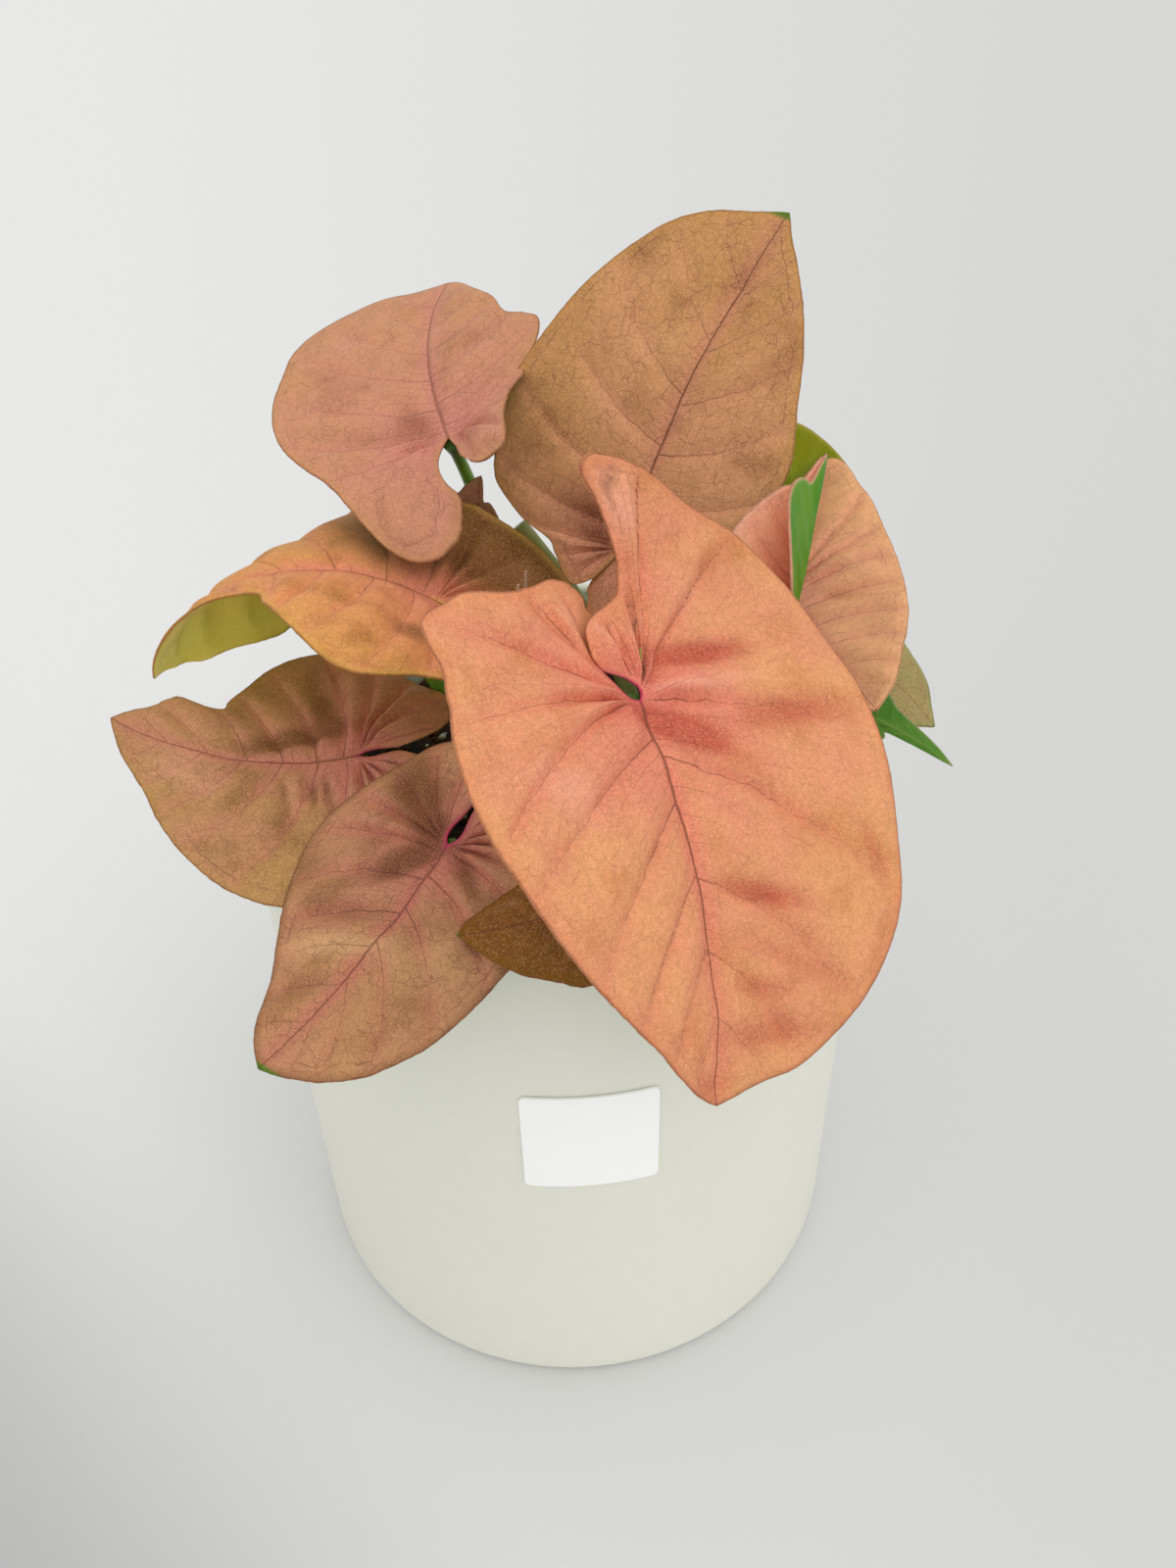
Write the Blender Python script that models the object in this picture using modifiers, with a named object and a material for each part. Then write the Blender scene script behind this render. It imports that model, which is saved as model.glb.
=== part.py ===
"""Arrowhead plant in a plain round pot: pot, soil, bare label, leaf stalks and blades.

Metres, +Z up. The origin is the centre of the pot's underside and the front is -Y.
Leaf dimensions are in millimetres and degrees, in each leaf's own frame: the blade
joins its stalk at the leaf's origin, its tip points along +X, and its top faces +Z.
"""
import math

import bmesh
import bpy
import numpy as np
from mathutils import Vector

MM = 0.001
GAP = 0.3 * MM

POT_RADIUS = 62.5 * MM
POT_HEIGHT = 133 * MM
POT_WALL = 3.2 * MM
POT_FLOOR = 5 * MM
POT_FOOT_ROUND = 4 * MM
POT_RIM_ROUND = 1.3 * MM
POT_TURNS = 60
SOIL_TOP = 118 * MM
SOIL_DOME = 3 * MM
SOIL_DEPTH = 90 * MM
CROWN_RADIUS = 5.5 * MM
CROWN_FOOT = 96 * MM
CROWN_TOP = 126 * MM

LABEL_WIDTH = 25.5 * MM
LABEL_LOW = 73 * MM
LABEL_HIGH = 99 * MM
LABEL_TURN = 4
LABEL_THICKNESS = 0.5 * MM

BLADE = 0.7 * MM
STALK_TIP = 1.1 * MM
STALK_BASE = 1.9 * MM
STALK_GAP = 0.5 * MM
STALK_FOOT = CROWN_TOP - 8 * MM
STALK_RISE = (0, 0, 14 * MM)
STALK_LEAN = 0.2
FINE = (5, 8)
COARSE = (4, 11)
MIDRIB_STEPS = 160

BEARINGS = (0, 8, 18, 32, 50, 72, 96, 120, 140, 153)

CROWNS = {"stalks_left": (-15 * MM, 4 * MM), "stalks_right": (17 * MM, 2 * MM)}

# Leafless shoots: crown, three curve points (mm) above it, base and tip radius (mm).
SHOOTS = {
    "sheath": ("stalks_right", ((19, 18, 134), (5, 26, 148), (-7.2, 31, 164)), 1.9, 1.7),
    "spear": ("stalks_left", ((-14, 5, 135), (-5.8, 4.8, 152), (-5.1, 5.8, 167)), 1.3, 0.3),
    "small_spear": ("stalks_left", ((-14, 5, 132), (-8.5, 3.6, 148), (-6.6, 4.4, 165)), 1.2, 0.3),
}


def leaf(joint, turn, pitch, roll, left, right, crown, **shape):
    """One leaf's dimensions, with everything that it doesn't name at rest."""
    values = dict(droop=0, sag=0, fold=(0, 0), curl=(0, 0), sweep=0, hook=(0, 0), crease=None,
                  low=None, bow=None, dip=90, size=1, sinus=170, coarse=False,
                  colour=(0.48, 0.19, 0.11))
    values.update(shape)
    values.setdefault("tip_fold", values["fold"])
    values.setdefault("tip_curl", values["curl"])
    values.update(joint=joint, turn=turn, pitch=pitch, roll=roll, left=left, right=right, crown=crown)
    return values


LEAVES = {
    "leaf_front": leaf(
        (13.5, -50, 175.5), -65, -30, -26,
        ((0, 63.5), (8, 62), (15, 62.5), (24, 61.5), (32, 60), (46, 56), (61, 49.5), (75, 47.5), (89, 45.5),
         (102, 42), (112, 38), (120, 35.8), (124.7, 37.8), (127, 38.8), (129.3, 37.8), (131.6, 36),
         (134.5, 32.5), (139, 28), (144.4, 23.5), (150, 20.3), (156.6, 17.8), (168, 16), (179, 15), (190, 14.2),
         (198, 13), (204.4, 11.3)),
        ((0, 63.5), (4, 61), (9, 57.5), (15, 53.5), (22, 50.5), (31, 47.5), (47, 43.5), (65, 40.5), (83, 37.5),
         (92, 35.8), (94.8, 35.8), (96.6, 38.5), (98.2, 35.8), (100.2, 32.8), (103, 28.5), (109.6, 23.3),
         (114.2, 22.2), (119.5, 20.5), (124, 18.8), (126.6, 17.3)),
        "stalks_right", droop=39, sag=-56, fold=(7, 7), curl=(1.5, -4.5), sweep=1, hook=(60, 280),
        crease=(-103, -20, 3), size=0.975,
        colour=(0.72, 0.26, 0.14)),
    "leaf_back": leaf(
        (13.5, 14.5, 166.5), 35, 69, 15,
        ((0, 62.5), (6, 60.5), (11, 59.5), (16, 57.5), (24, 52.5), (32, 47.5), (41, 42.5), (56, 37), (75, 30.5),
         (84, 27.5), (89, 24), (94, 21), (101, 16), (115, 13.7), (134, 13), (144, 12), (152, 8)),
        ((0, 62.5), (3, 59), (7, 55.7), (12, 52), (19, 47.5), (31, 40.5), (48, 34), (62, 26), (80, 20),
         (110, 18), (140, 19), (160, 20), (178, 19), (192, 16), (203, 12)),
        "stalks_right", droop=22, sag=-11, fold=(13, 5), curl=(1, -2), sweep=-5, size=1.06,
        colour=(0.47, 0.22, 0.11)),
    "leaf_upper_left": leaf(
        (-19.5, 26, 185), 109, 19, -21,
        ((0, 56.5), (7, 55), (13, 56), (20, 53.5), (28, 51), (37, 46), (43, 41.7), (53, 37.5), (70, 31.7),
         (88, 25.4), (97, 22.8), (103.5, 23), (109, 25), (111.5, 24.3), (115.7, 22), (120, 19.8), (125.4, 17),
         (133.3, 14), (138.4, 12)),
        ((0, 56.5), (13, 42.5), (25, 35), (34, 30), (46, 29), (54, 27), (61, 21.5), (68, 15), (77, 13.5),
         (90, 13.7), (105, 14.7), (120, 16.3), (134, 18.6), (147, 22.5), (153, 21), (159, 18.8), (166, 12)),
        "stalks_left", droop=26, sag=50, fold=(12, 6), curl=(0.5, 0), sweep=-11.5, hook=(188, 0),
        crease=(-65, 45, 5), size=1.06, low=(-12, 44, 150), bow=26, dip=105,
        colour=(0.50, 0.22, 0.15)),
    "leaf_left": leaf(
        (-22.5, 3.5, 162.5), 174, 32, 5,
        (66, 45.5, 33, 31, 31.5, 33, 25.5, 25, 29, 31, 13.5),
        (66, 68, 64.5, 58.5, 40.5, 28, 25.5, 28.5, 31.5, 31.5, 13.5),
        "stalks_left", droop=99, sag=15, fold=(13, 21), tip_fold=(16, -6), curl=(-9.5, 2),
        tip_curl=(-10, -34.5), sweep=-2.5, size=1.06, colour=(0.56, 0.26, 0.10)),
    "leaf_lower_left": leaf(
        (-37.1, -16.6, 141.7), 185, -9, 3,
        (42, 39.5, 36, 34.5, 33, 31, 26, 24, 21, 17, 7),
        ((0, 42), (7, 39.2), (12, 37), (18, 35.5), (21, 34), (22.8, 30), (25.5, 27.5), (31, 27.8), (43, 28.8),
         (56, 30.8), (68, 32), (80, 30.8), (96, 25), (120, 19.8), (140, 20), (153, 18.5), (177, 7)),
        "stalks_left", droop=-36, sag=21, fold=(-8, 8), curl=(-5.5, 0), sweep=-7, size=1.102, sinus=177,
        colour=(0.45, 0.20, 0.14)),
    "leaf_front_left": leaf(
        (-18, -47, 145.5), 233, -28, 6,
        (44, 43, 41, 35.5, 28, 24, 22, 22, 23, 21.5, 8.5),
        (44, 40.5, 34.5, 30.5, 28, 26, 22, 20, 21, 20.5, 9),
        "stalks_left", droop=-10, sag=17, fold=(0, 2), curl=(-4, -0.5), sweep=-4, size=1.04, sinus=177,
        colour=(0.44, 0.20, 0.13)),
    "leaf_rim": leaf(
        (5, -68, 152.5), 189, -22, 1,
        (23.5, 21.5, 19.5, 17.5, 15.5, 15.5, 14.5, 14, 13.5, 12, 4.5),
        (23.5, 22, 19, 16.5, 14.5, 13, 12.5, 13, 13.5, 12, 4.5),
        "stalks_right", droop=7, sag=8, fold=(-9, -4), curl=(-7, -5), sweep=-6, size=0.935, coarse=True,
        colour=(0.36, 0.19, 0.07)),
    "leaf_right_folded": leaf(
        (41.5, -10.5, 160.5), 60, 54, 25,
        (35, 29.5, 28, 26, 24, 20, 16, 13.5, 12, 9.5, 5),
        (35, 29.5, 30, 28.5, 21, 15, 13, 12, 11, 9, 4.5),
        "stalks_right", droop=-3, sag=5, fold=(32, 95), tip_fold=(32, 130), curl=(1.5, -0.5), sweep=2.5,
        size=0.96, sinus=157, dip=15, low=(24, -18, 138), coarse=True,
        colour=(0.72, 0.28, 0.15)),
    "leaf_right": leaf(
        (45.5, 16, 156), -71, -9, 12,
        (42, 38.5, 33, 28.5, 24.5, 22.5, 23.5, 28.5, 33, 22, 8),
        (42, 37.5, 31, 24, 20, 18, 18, 19, 20, 18, 8),
        "stalks_right", droop=-16, sag=-14, fold=(12, 5), curl=(-0.5, -3), sweep=-2,
        low=(26, 10, 140), bow=3,
        colour=(0.58, 0.28, 0.13)),
    "leaf_behind": leaf(
        (51, 46, 145.5), -82, 84, 10,
        (35.5, 33, 29.5, 25.5, 22, 18.5, 14.5, 12, 11, 9, 4),
        (35.5, 33, 29.5, 25.5, 22, 18.5, 14.5, 12, 11, 9, 4),
        "stalks_right", droop=-3, sag=5, curl=(-3, -3), sweep=-4.5, dip=35, coarse=True,
        colour=(0.42, 0.33, 0.06)),
    "leaf_right_low": leaf(
        (55.5, 12, 145), -10, -21, 10,
        (29, 27, 26, 22, 19, 16, 14.5, 15, 15.5, 14.5, 5.5),
        (29, 25.5, 23, 21, 18.5, 16, 14.5, 15, 15.5, 14.5, 5.5),
        "stalks_right", droop=34, sag=5, fold=(4, -1), curl=(-2.5, -3), sweep=-1.5, size=1.015, coarse=True,
        colour=(0.42, 0.38, 0.24)),
    "leaf_right_curled": leaf(
        (55, -7, 143), -20, -8, -109,
        (22, 10, 9, 8.5, 9, 9, 10, 10.5, 11, 10, 4.5),
        (22, 14.5, 10.5, 9, 9, 9, 9.5, 10.5, 11, 10, 4.5),
        "stalks_right", droop=17, sag=5, curl=(-3, -3), sweep=4, size=1.02, coarse=True,
        colour=(0.20, 0.30, 0.08)),
    "leaf_young": leaf(
        (-17, 30, 162.5), 15, 77, 66,
        (12.5, 11.5, 10, 8.5, 7.5, 6.5, 6, 6, 6, 5.5, 2.5),
        (12.5, 8, 8, 7.5, 7, 6.5, 6, 6, 6, 5.5, 2.5),
        "stalks_left", droop=5, sag=5, fold=(12, 12), dip=35, coarse=True,
        colour=(0.34, 0.16, 0.09)),
}


def clear_scene():
    for thing in list(bpy.data.objects):
        bpy.data.objects.remove(thing, do_unlink=True)


def collection(name):
    group = bpy.data.collections.new(name)
    bpy.context.scene.collection.children.link(group)
    return group


def material(name, colour, roughness, metallic=0.0):
    """A plain Principled material."""
    mat = bpy.data.materials.new(name)
    mat.use_nodes = True
    shader = mat.node_tree.nodes["Principled BSDF"]
    shader.inputs["Base Color"].default_value = (*colour, 1)
    shader.inputs["Roughness"].default_value = roughness
    shader.inputs["Metallic"].default_value = metallic
    mat.diffuse_color = (*colour, 1)
    return mat


def add_object(name, mesh, group, mat=None):
    thing = bpy.data.objects.new(name, mesh)
    group.objects.link(thing)
    if mat:
        mesh.materials.append(mat)
    return thing


def as_cutter(thing):
    thing.hide_render = True
    thing.display_type = "WIRE"
    return thing


def boolean(thing, other, operation):
    step = thing.modifiers.new(operation.title(), "BOOLEAN")
    step.operation = operation
    step.solver = "EXACT"
    step.object = other


def arc(centre, radius, start, end, steps):
    """Points (radius from the axis, height) along an arc, angles in degrees."""
    angles = np.radians(np.linspace(start, end, steps + 1))
    return [(centre[0] + radius * math.cos(a), centre[1] + radius * math.sin(a)) for a in angles]


def turned(name, profile, group, mat, turns=POT_TURNS):
    """A body of revolution about Z from its (radius, height) profile."""
    mesh = bpy.data.meshes.new(name)
    mesh.from_pydata([(r, 0, z) for r, z in profile], [(i, i + 1) for i in range(len(profile) - 1)], [])
    thing = add_object(name, mesh, group, mat)
    screw = thing.modifiers.new("Screw", "SCREW")
    screw.steps = screw.render_steps = turns
    screw.use_merge_vertices = True
    screw.merge_threshold = 0.00001
    return thing


def make_pot(group):
    """The glazed pot, a straight-sided cylinder with a rounded foot and rim."""
    inner = POT_RADIUS - POT_WALL
    foot = POT_FOOT_ROUND
    rim = POT_RIM_ROUND
    profile = [(0, POT_FLOOR)]
    profile += arc((inner - foot, POT_FLOOR + foot), foot, -90, 0, 4)
    profile += arc((inner + rim, POT_HEIGHT - rim), rim, 180, 90, 3)
    profile += arc((POT_RADIUS - rim, POT_HEIGHT - rim), rim, 90, 0, 3)
    profile += arc((POT_RADIUS - foot, foot), foot, 0, -90, 4)
    profile.append((0, 0))
    return turned("pot", profile, group, material("pot_glaze", (0.74, 0.74, 0.68), 0.45))


def make_soil(group, cutters):
    """The potting mix, slightly domed, with a plain hole for each crown."""
    radius = POT_RADIUS - POT_WALL - GAP
    base = SOIL_TOP - SOIL_DEPTH
    profile = [(radius * k, SOIL_TOP - SOIL_DOME * k * k) for k in (0, 0.35, 0.7, 0.9)]
    profile += [(radius, SOIL_TOP - SOIL_DOME - GAP), (radius, base), (0, base)]
    soil = turned("soil", profile, group, material("potting_mix", (0.03, 0.02, 0.013), 0.95))
    for name, (x, y) in CROWNS.items():
        hole = cylinder(name + "_hole", CROWN_RADIUS + GAP, CROWN_FOOT - GAP, CROWN_TOP, (x, y), cutters)
        boolean(soil, as_cutter(hole), "DIFFERENCE")
    return soil


def cylinder(name, radius, low, high, place, group, mat=None, sides=20):
    shape = bmesh.new()
    bmesh.ops.create_cone(shape, cap_ends=True, segments=sides, radius1=radius, radius2=radius,
                          depth=high - low)
    mesh = bpy.data.meshes.new(name)
    shape.to_mesh(mesh)
    shape.free()
    thing = add_object(name, mesh, group, mat)
    thing.location = (place[0], place[1], (low + high) / 2)
    return thing


def make_label(group):
    """A bare rectangular sticker, bent to the pot's side."""
    radius = POT_RADIUS + GAP
    half = LABEL_WIDTH / 2 / radius
    shape = bmesh.new()
    bmesh.ops.create_grid(shape, x_segments=12, y_segments=2, size=0.5)
    for vert in shape.verts:
        angle = math.radians(LABEL_TURN - 90) + vert.co.x * 2 * half
        height = LABEL_LOW + (vert.co.y + 0.5) * (LABEL_HIGH - LABEL_LOW)
        vert.co = Vector((radius * math.cos(angle), radius * math.sin(angle), height))
    mesh = bpy.data.meshes.new("label")
    shape.to_mesh(mesh)
    shape.free()
    label = add_object("label", mesh, group, material("label_paper", (0.80, 0.80, 0.80), 0.5))
    solid = label.modifiers.new("Solidify", "SOLIDIFY")
    solid.thickness = LABEL_THICKNESS
    solid.offset = 1
    return label


def through(knots, values, at):
    """A smooth curve through the knots, read at the given places."""
    knots = np.array(knots, float)
    values = np.array(values, float)
    step = np.diff(knots)
    slope = np.diff(values) / step
    tangent = np.empty_like(values)
    tangent[0] = slope[0]
    tangent[-1] = slope[-1]
    tangent[1:-1] = (slope[:-1] * step[1:] + slope[1:] * step[:-1]) / (step[1:] + step[:-1])
    i = np.clip(np.searchsorted(knots, at, side="right") - 1, 0, len(step) - 1)
    t = (at - knots[i]) / step[i]
    return ((2 * t**3 - 3 * t**2 + 1) * values[i] + (t**3 - 2 * t**2 + t) * step[i] * tangent[i]
            + (3 * t**2 - 2 * t**3) * values[i + 1] + (t**3 - t**2) * step[i] * tangent[i + 1])


def outline(reaches, sinus):
    """Bearings from the tip, and the margin's distance from the joint at each."""
    if np.ndim(reaches) == 1:
        return np.array(BEARINGS + (sinus,), float), np.array(reaches, float)
    pairs = np.array(reaches, float)
    return pairs[:, 0], pairs[:, 1]


def blade_length(shape):
    """The flat distance from joint to tip."""
    return outline(shape["left"], shape["sinus"])[1][0]


def ray_bearings(stations, step):
    """The outline's own bearings, with more between those that are far apart."""
    rays = [stations[0]]
    for a, b in zip(stations, stations[1:]):
        parts = max(1, math.ceil((b - a) / step))
        rays += [a + (b - a) * (k + 1) / parts for k in range(parts)]
    return np.array(rays)


def flat_half(shape, side):
    """Flat points of the left (+1) or right (-1) half, one row a ray, from joint to margin."""
    stations, reaches = outline(shape["left"] if side > 0 else shape["right"], shape["sinus"])
    rings, step = COARSE if shape["coarse"] else FINE
    rays = ray_bearings(stations, step)
    reach = through(stations, reaches, rays)[:, None] * np.linspace(0, 1, rings + 1)
    hook = shape["hook"][0 if side > 0 else 1]
    ease = np.clip((rays[:, None] - 90) / 60, 0, 1)
    ease = ease * ease * (3 - 2 * ease)
    bearing = rays[:, None] + hook * ease * (2 * reach / reaches[0]) ** 2
    angle = np.radians(bearing) * side
    return np.stack([reach * np.cos(angle), reach * np.sin(angle), 0 * reach], -1)


def creased(points, crease):
    """The lobe beyond a line through the joint, turned up about that line."""
    bearing, angle, width = crease
    along = np.radians(180 + bearing)
    line = np.array([math.cos(along), math.sin(along), 0])
    across = np.array([-math.sin(along), math.cos(along), 0])
    s = points @ across
    bent = np.radians(angle) * np.clip(s, 0, width) / width
    radius = width / np.radians(angle)
    past = np.clip(s - width, 0, None)
    out = np.where(s > 0, radius * np.sin(bent) + past * np.cos(bent), s)
    up = np.where(s > 0, radius * (1 - np.cos(bent)) + past * np.sin(bent), 0)
    return (points @ line)[..., None] * line + out[..., None] * across + up[..., None] * np.array([0, 0, 1.0])


def midrib(shape):
    """Places along the midrib, and its side view: x, z and slope, bent by droop and sag."""
    length = blade_length(shape)
    back = 0.6 * length
    s = np.linspace(-back, length, MIDRIB_STEPS + 1)
    slope = np.radians(np.where(s >= 0, -shape["droop"] * s / length, -shape["sag"] * s / back))
    step = s[1] - s[0]
    x = np.concatenate([[0], np.cumsum((np.cos(slope)[1:] + np.cos(slope)[:-1]) / 2 * step)])
    z = np.concatenate([[0], np.cumsum((np.sin(slope)[1:] + np.sin(slope)[:-1]) / 2 * step)])
    return s, x - np.interp(0, s, x), z - np.interp(0, s, z), slope


def bent(points, shape, side):
    """Flat points of one half, folded at the midrib, curled across and bent along it."""
    half = 0 if side > 0 else 1
    length = blade_length(shape)
    x, y, lift = points[..., 0], points[..., 1] * side, points[..., 2]
    share = np.clip(x / length, 0, 1)
    fold = np.radians(shape["fold"][half] + (shape["tip_fold"][half] - shape["fold"][half]) * share)
    curl = shape["curl"][half] + (shape["tip_curl"][half] - shape["curl"][half]) * share
    curl = np.radians(np.where(np.abs(curl) < 0.001, 0.001, curl)) / 10
    end = fold + curl * y
    out = (np.sin(end) - np.sin(fold)) / curl - lift * np.sin(end)
    up = (np.cos(fold) - np.cos(end)) / curl + lift * np.cos(end)
    s, rib_x, rib_z, rib_slope = midrib(shape)
    slope = np.interp(x, s, rib_slope)
    sway = shape["sweep"] * np.clip(x / length, 0, None) ** 2
    return np.stack([np.interp(x, s, rib_x) - up * np.sin(slope), out * side + sway,
                     np.interp(x, s, rib_z) + up * np.cos(slope)], -1)


def leaf_axes(shape):
    """Columns: the leaf's tip, left and top directions in the plant."""
    turn, pitch, roll = np.radians([shape["turn"], shape["pitch"], shape["roll"]])
    about_x = np.array([[1, 0, 0], [0, math.cos(roll), -math.sin(roll)], [0, math.sin(roll), math.cos(roll)]])
    about_y = np.array([[math.cos(pitch), 0, -math.sin(pitch)], [0, 1, 0],
                        [math.sin(pitch), 0, math.cos(pitch)]])
    about_z = np.array([[math.cos(turn), -math.sin(turn), 0], [math.sin(turn), math.cos(turn), 0], [0, 0, 1]])
    return about_z @ about_y @ about_x


def blade_points(shape):
    """Rows of points in metres, from the right half's sinus round the tip to the left's."""
    halves = []
    for side in (-1, 1):
        flat = flat_half(shape, side)
        if shape["crease"] and side < 0:
            flat = creased(flat, shape["crease"])
        halves.append(bent(flat, shape, side))
    rows = np.concatenate([halves[0][:0:-1], halves[1]])
    return (np.array(shape["joint"]) + shape["size"] * rows @ leaf_axes(shape).T) * MM


def make_blade(name, shape, group):
    """A leaf blade: an open fan of triangles round the joint, given its thickness."""
    rows = blade_points(shape)
    fan = bmesh.new()
    centre = fan.verts.new(rows[0, 0])
    grid = [[fan.verts.new(point) for point in row[1:]] for row in rows]
    for a, b in zip(grid, grid[1:]):
        fan.faces.new((centre, a[0], b[0]))
        for k in range(len(a) - 1):
            fan.faces.new((a[k], a[k + 1], b[k + 1]))
            fan.faces.new((a[k], b[k + 1], b[k]))
    mesh = bpy.data.meshes.new(name)
    fan.to_mesh(mesh)
    fan.free()
    mesh.shade_smooth()
    blade = add_object(name, mesh, group, material(name + "_skin", shape["colour"], 0.55))
    solid = blade.modifiers.new("Solidify", "SOLIDIFY")
    solid.thickness = BLADE
    solid.offset = -1
    return blade


def tube(name, points, base_radius, tip_radius, group):
    """A tapered round stalk along a Bezier curve, as a closed mesh."""
    curve = bpy.data.curves.new(name, "CURVE")
    curve.dimensions = "3D"
    curve.bevel_depth = 1.0
    curve.bevel_resolution = 1
    curve.use_fill_caps = True
    curve.resolution_u = 9
    spline = curve.splines.new("BEZIER")
    spline.bezier_points.add(1)
    first, last = spline.bezier_points
    first.co, first.handle_right, last.handle_left, last.co = points
    first.handle_left = first.co * 2 - first.handle_right
    last.handle_right = last.co * 2 - last.handle_left
    first.radius = base_radius
    last.radius = tip_radius
    guide = bpy.data.objects.new(name + "_guide", curve)
    group.objects.link(guide)
    depsgraph = bpy.context.evaluated_depsgraph_get()
    mesh = bpy.data.meshes.new_from_object(guide.evaluated_get(depsgraph))
    mesh.name = name
    mesh.shade_smooth()
    weld = bmesh.new()
    weld.from_mesh(mesh)
    bmesh.ops.remove_doubles(weld, verts=weld.verts, dist=0.00001)
    weld.to_mesh(mesh)
    weld.free()
    stalk = bpy.data.objects.new(name, mesh)
    stalk.matrix_world = guide.matrix_world
    group.objects.link(stalk)
    bpy.data.objects.remove(guide, do_unlink=True)
    return stalk


def stalk_points(shape):
    """Bezier points from the crown up to just under the blade, meeting it at the dip angle."""
    axes = leaf_axes(shape)
    dip = math.radians(shape["dip"])
    top = Vector(axes[:, 2])
    along = -Vector(axes[:, 0]) * math.cos(dip) - top * math.sin(dip)
    end = Vector(shape["joint"]) * MM - top * (BLADE + STALK_GAP + STALK_TIP * abs(math.cos(dip)))
    x, y = CROWNS[shape["crown"]]
    start = Vector((x, y, STALK_FOOT))
    low = Vector(shape["low"]) * MM if shape["low"] else start + Vector(STALK_RISE) + (end - start) * STALK_LEAN
    bow = shape["bow"] * MM if shape["bow"] else 0.4 * (end - start).length
    return start, low, end + along * bow, end


def make_crown(name, group, cutters):
    """A short crown in the soil with its leaf stalks, fused into one piece."""
    mat = material(name + "_green", (0.16, 0.25, 0.05), 0.5)
    crown = cylinder(name, CROWN_RADIUS, CROWN_FOOT, CROWN_TOP, CROWNS[name], group, mat)
    for leaf_name, shape in LEAVES.items():
        if shape["crown"] == name:
            stalk = tube(leaf_name + "_stalk", stalk_points(shape), STALK_BASE, STALK_TIP, cutters)
            boolean(crown, as_cutter(stalk), "UNION")
    x, y = CROWNS[name]
    start = Vector((x, y, STALK_FOOT))
    for shoot_name, (owner, bends, base, tip) in SHOOTS.items():
        if owner == name:
            points = [start] + [Vector(point) * MM for point in bends]
            shoot = tube(shoot_name, points, base * MM, tip * MM, cutters)
            boolean(crown, as_cutter(shoot), "UNION")
    return crown


def main():
    clear_scene()
    plant = collection("arrowhead_plant")
    cutters = collection("cutters")
    make_pot(plant)
    make_soil(plant, cutters)
    make_label(plant)
    for name in CROWNS:
        make_crown(name, plant, cutters)
    for name, shape in LEAVES.items():
        make_blade(name, shape, plant)


main()
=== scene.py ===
import math

import bmesh
import bpy
import numpy as np
from mathutils import Matrix, Vector, noise


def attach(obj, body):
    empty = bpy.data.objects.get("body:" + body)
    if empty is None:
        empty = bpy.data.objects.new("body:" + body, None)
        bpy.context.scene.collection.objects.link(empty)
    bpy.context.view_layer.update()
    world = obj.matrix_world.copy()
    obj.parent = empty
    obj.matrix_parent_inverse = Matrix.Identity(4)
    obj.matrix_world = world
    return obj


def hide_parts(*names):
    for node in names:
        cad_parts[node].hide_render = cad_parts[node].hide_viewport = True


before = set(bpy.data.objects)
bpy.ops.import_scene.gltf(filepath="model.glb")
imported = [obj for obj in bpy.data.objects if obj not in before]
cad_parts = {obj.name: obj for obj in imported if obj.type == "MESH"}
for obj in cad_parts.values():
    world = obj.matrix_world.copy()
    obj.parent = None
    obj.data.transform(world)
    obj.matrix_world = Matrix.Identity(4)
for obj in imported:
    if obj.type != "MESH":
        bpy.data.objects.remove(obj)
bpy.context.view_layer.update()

MM = 0.001

POT_RADIUS = 62.5
POT_HEIGHT = 133
POT_WALL = 3.2
POT_FLOOR = 5
POT_FOOT_ROUND = 4
POT_RIM_ROUND = 1.3
WALL_HEIGHTS = (30, 60, 90, 120)
SOIL_TOP = 118
SOIL_DOME = 3
SOIL_DEPTH = 90
SOIL_GAP = 0.3
SOIL_LUMP = 1.2
SOIL_LUMP_SPAN = 6
CRUMB_SWAY = 0.0016
CROWN_RADII = ((112, 5.4), (121, 4.8), (126, 2.0))
STALK_START = 118

LABEL_WIDTH = 25.5
LABEL_LOW = 73
LABEL_HIGH = 99
LABEL_TURN = 4
LABEL_STAND = 0.3
LABEL_THICKNESS = 0.45
LABEL_CORNER = 1.2

SKIN = 0.45
STALK_TIP = 1.1
STALK_BASE = 1.9
STALK_RISE = (0, 0, 14)
STALK_LEAN = 0.2
STALK_STOP = 0.96
MIDRIB_STEPS = 160
PINCH_REACH = 3.6
PINCH_FROM = 40
SCALLOP = 0.13
HOLLOW_DEPTH = 0.8
BLADE_READINGS = ("phase", "gap", "edge", "glow", "rim", "dent")
FLAT_SPAN = 200
BEARINGS = (0, 8, 18, 32, 50, 72, 96, 120, 140, 153)

# Where each crown stands. A shoot has its crown, its bends, and its radius at the foot and at the tip.
CROWNS = {"stalks_left": (-15, 4), "stalks_right": (17, 2)}
SHOOTS = {
    "sheath": ("stalks_right", ((19, 18, 134), (5, 26, 148), (-7.2, 31, 164)), 1.9, 1.7),
    "spear": ("stalks_left", ((-14, 5, 135), (-5.8, 4.8, 152), (-5.1, 5.8, 167)), 1.3, 0.3),
    "small_spear": ("stalks_left", ((-14, 5, 132), (-8.5, 3.6, 148), (-6.6, 4.4, 165)), 1.2, 0.3),
}

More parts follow.
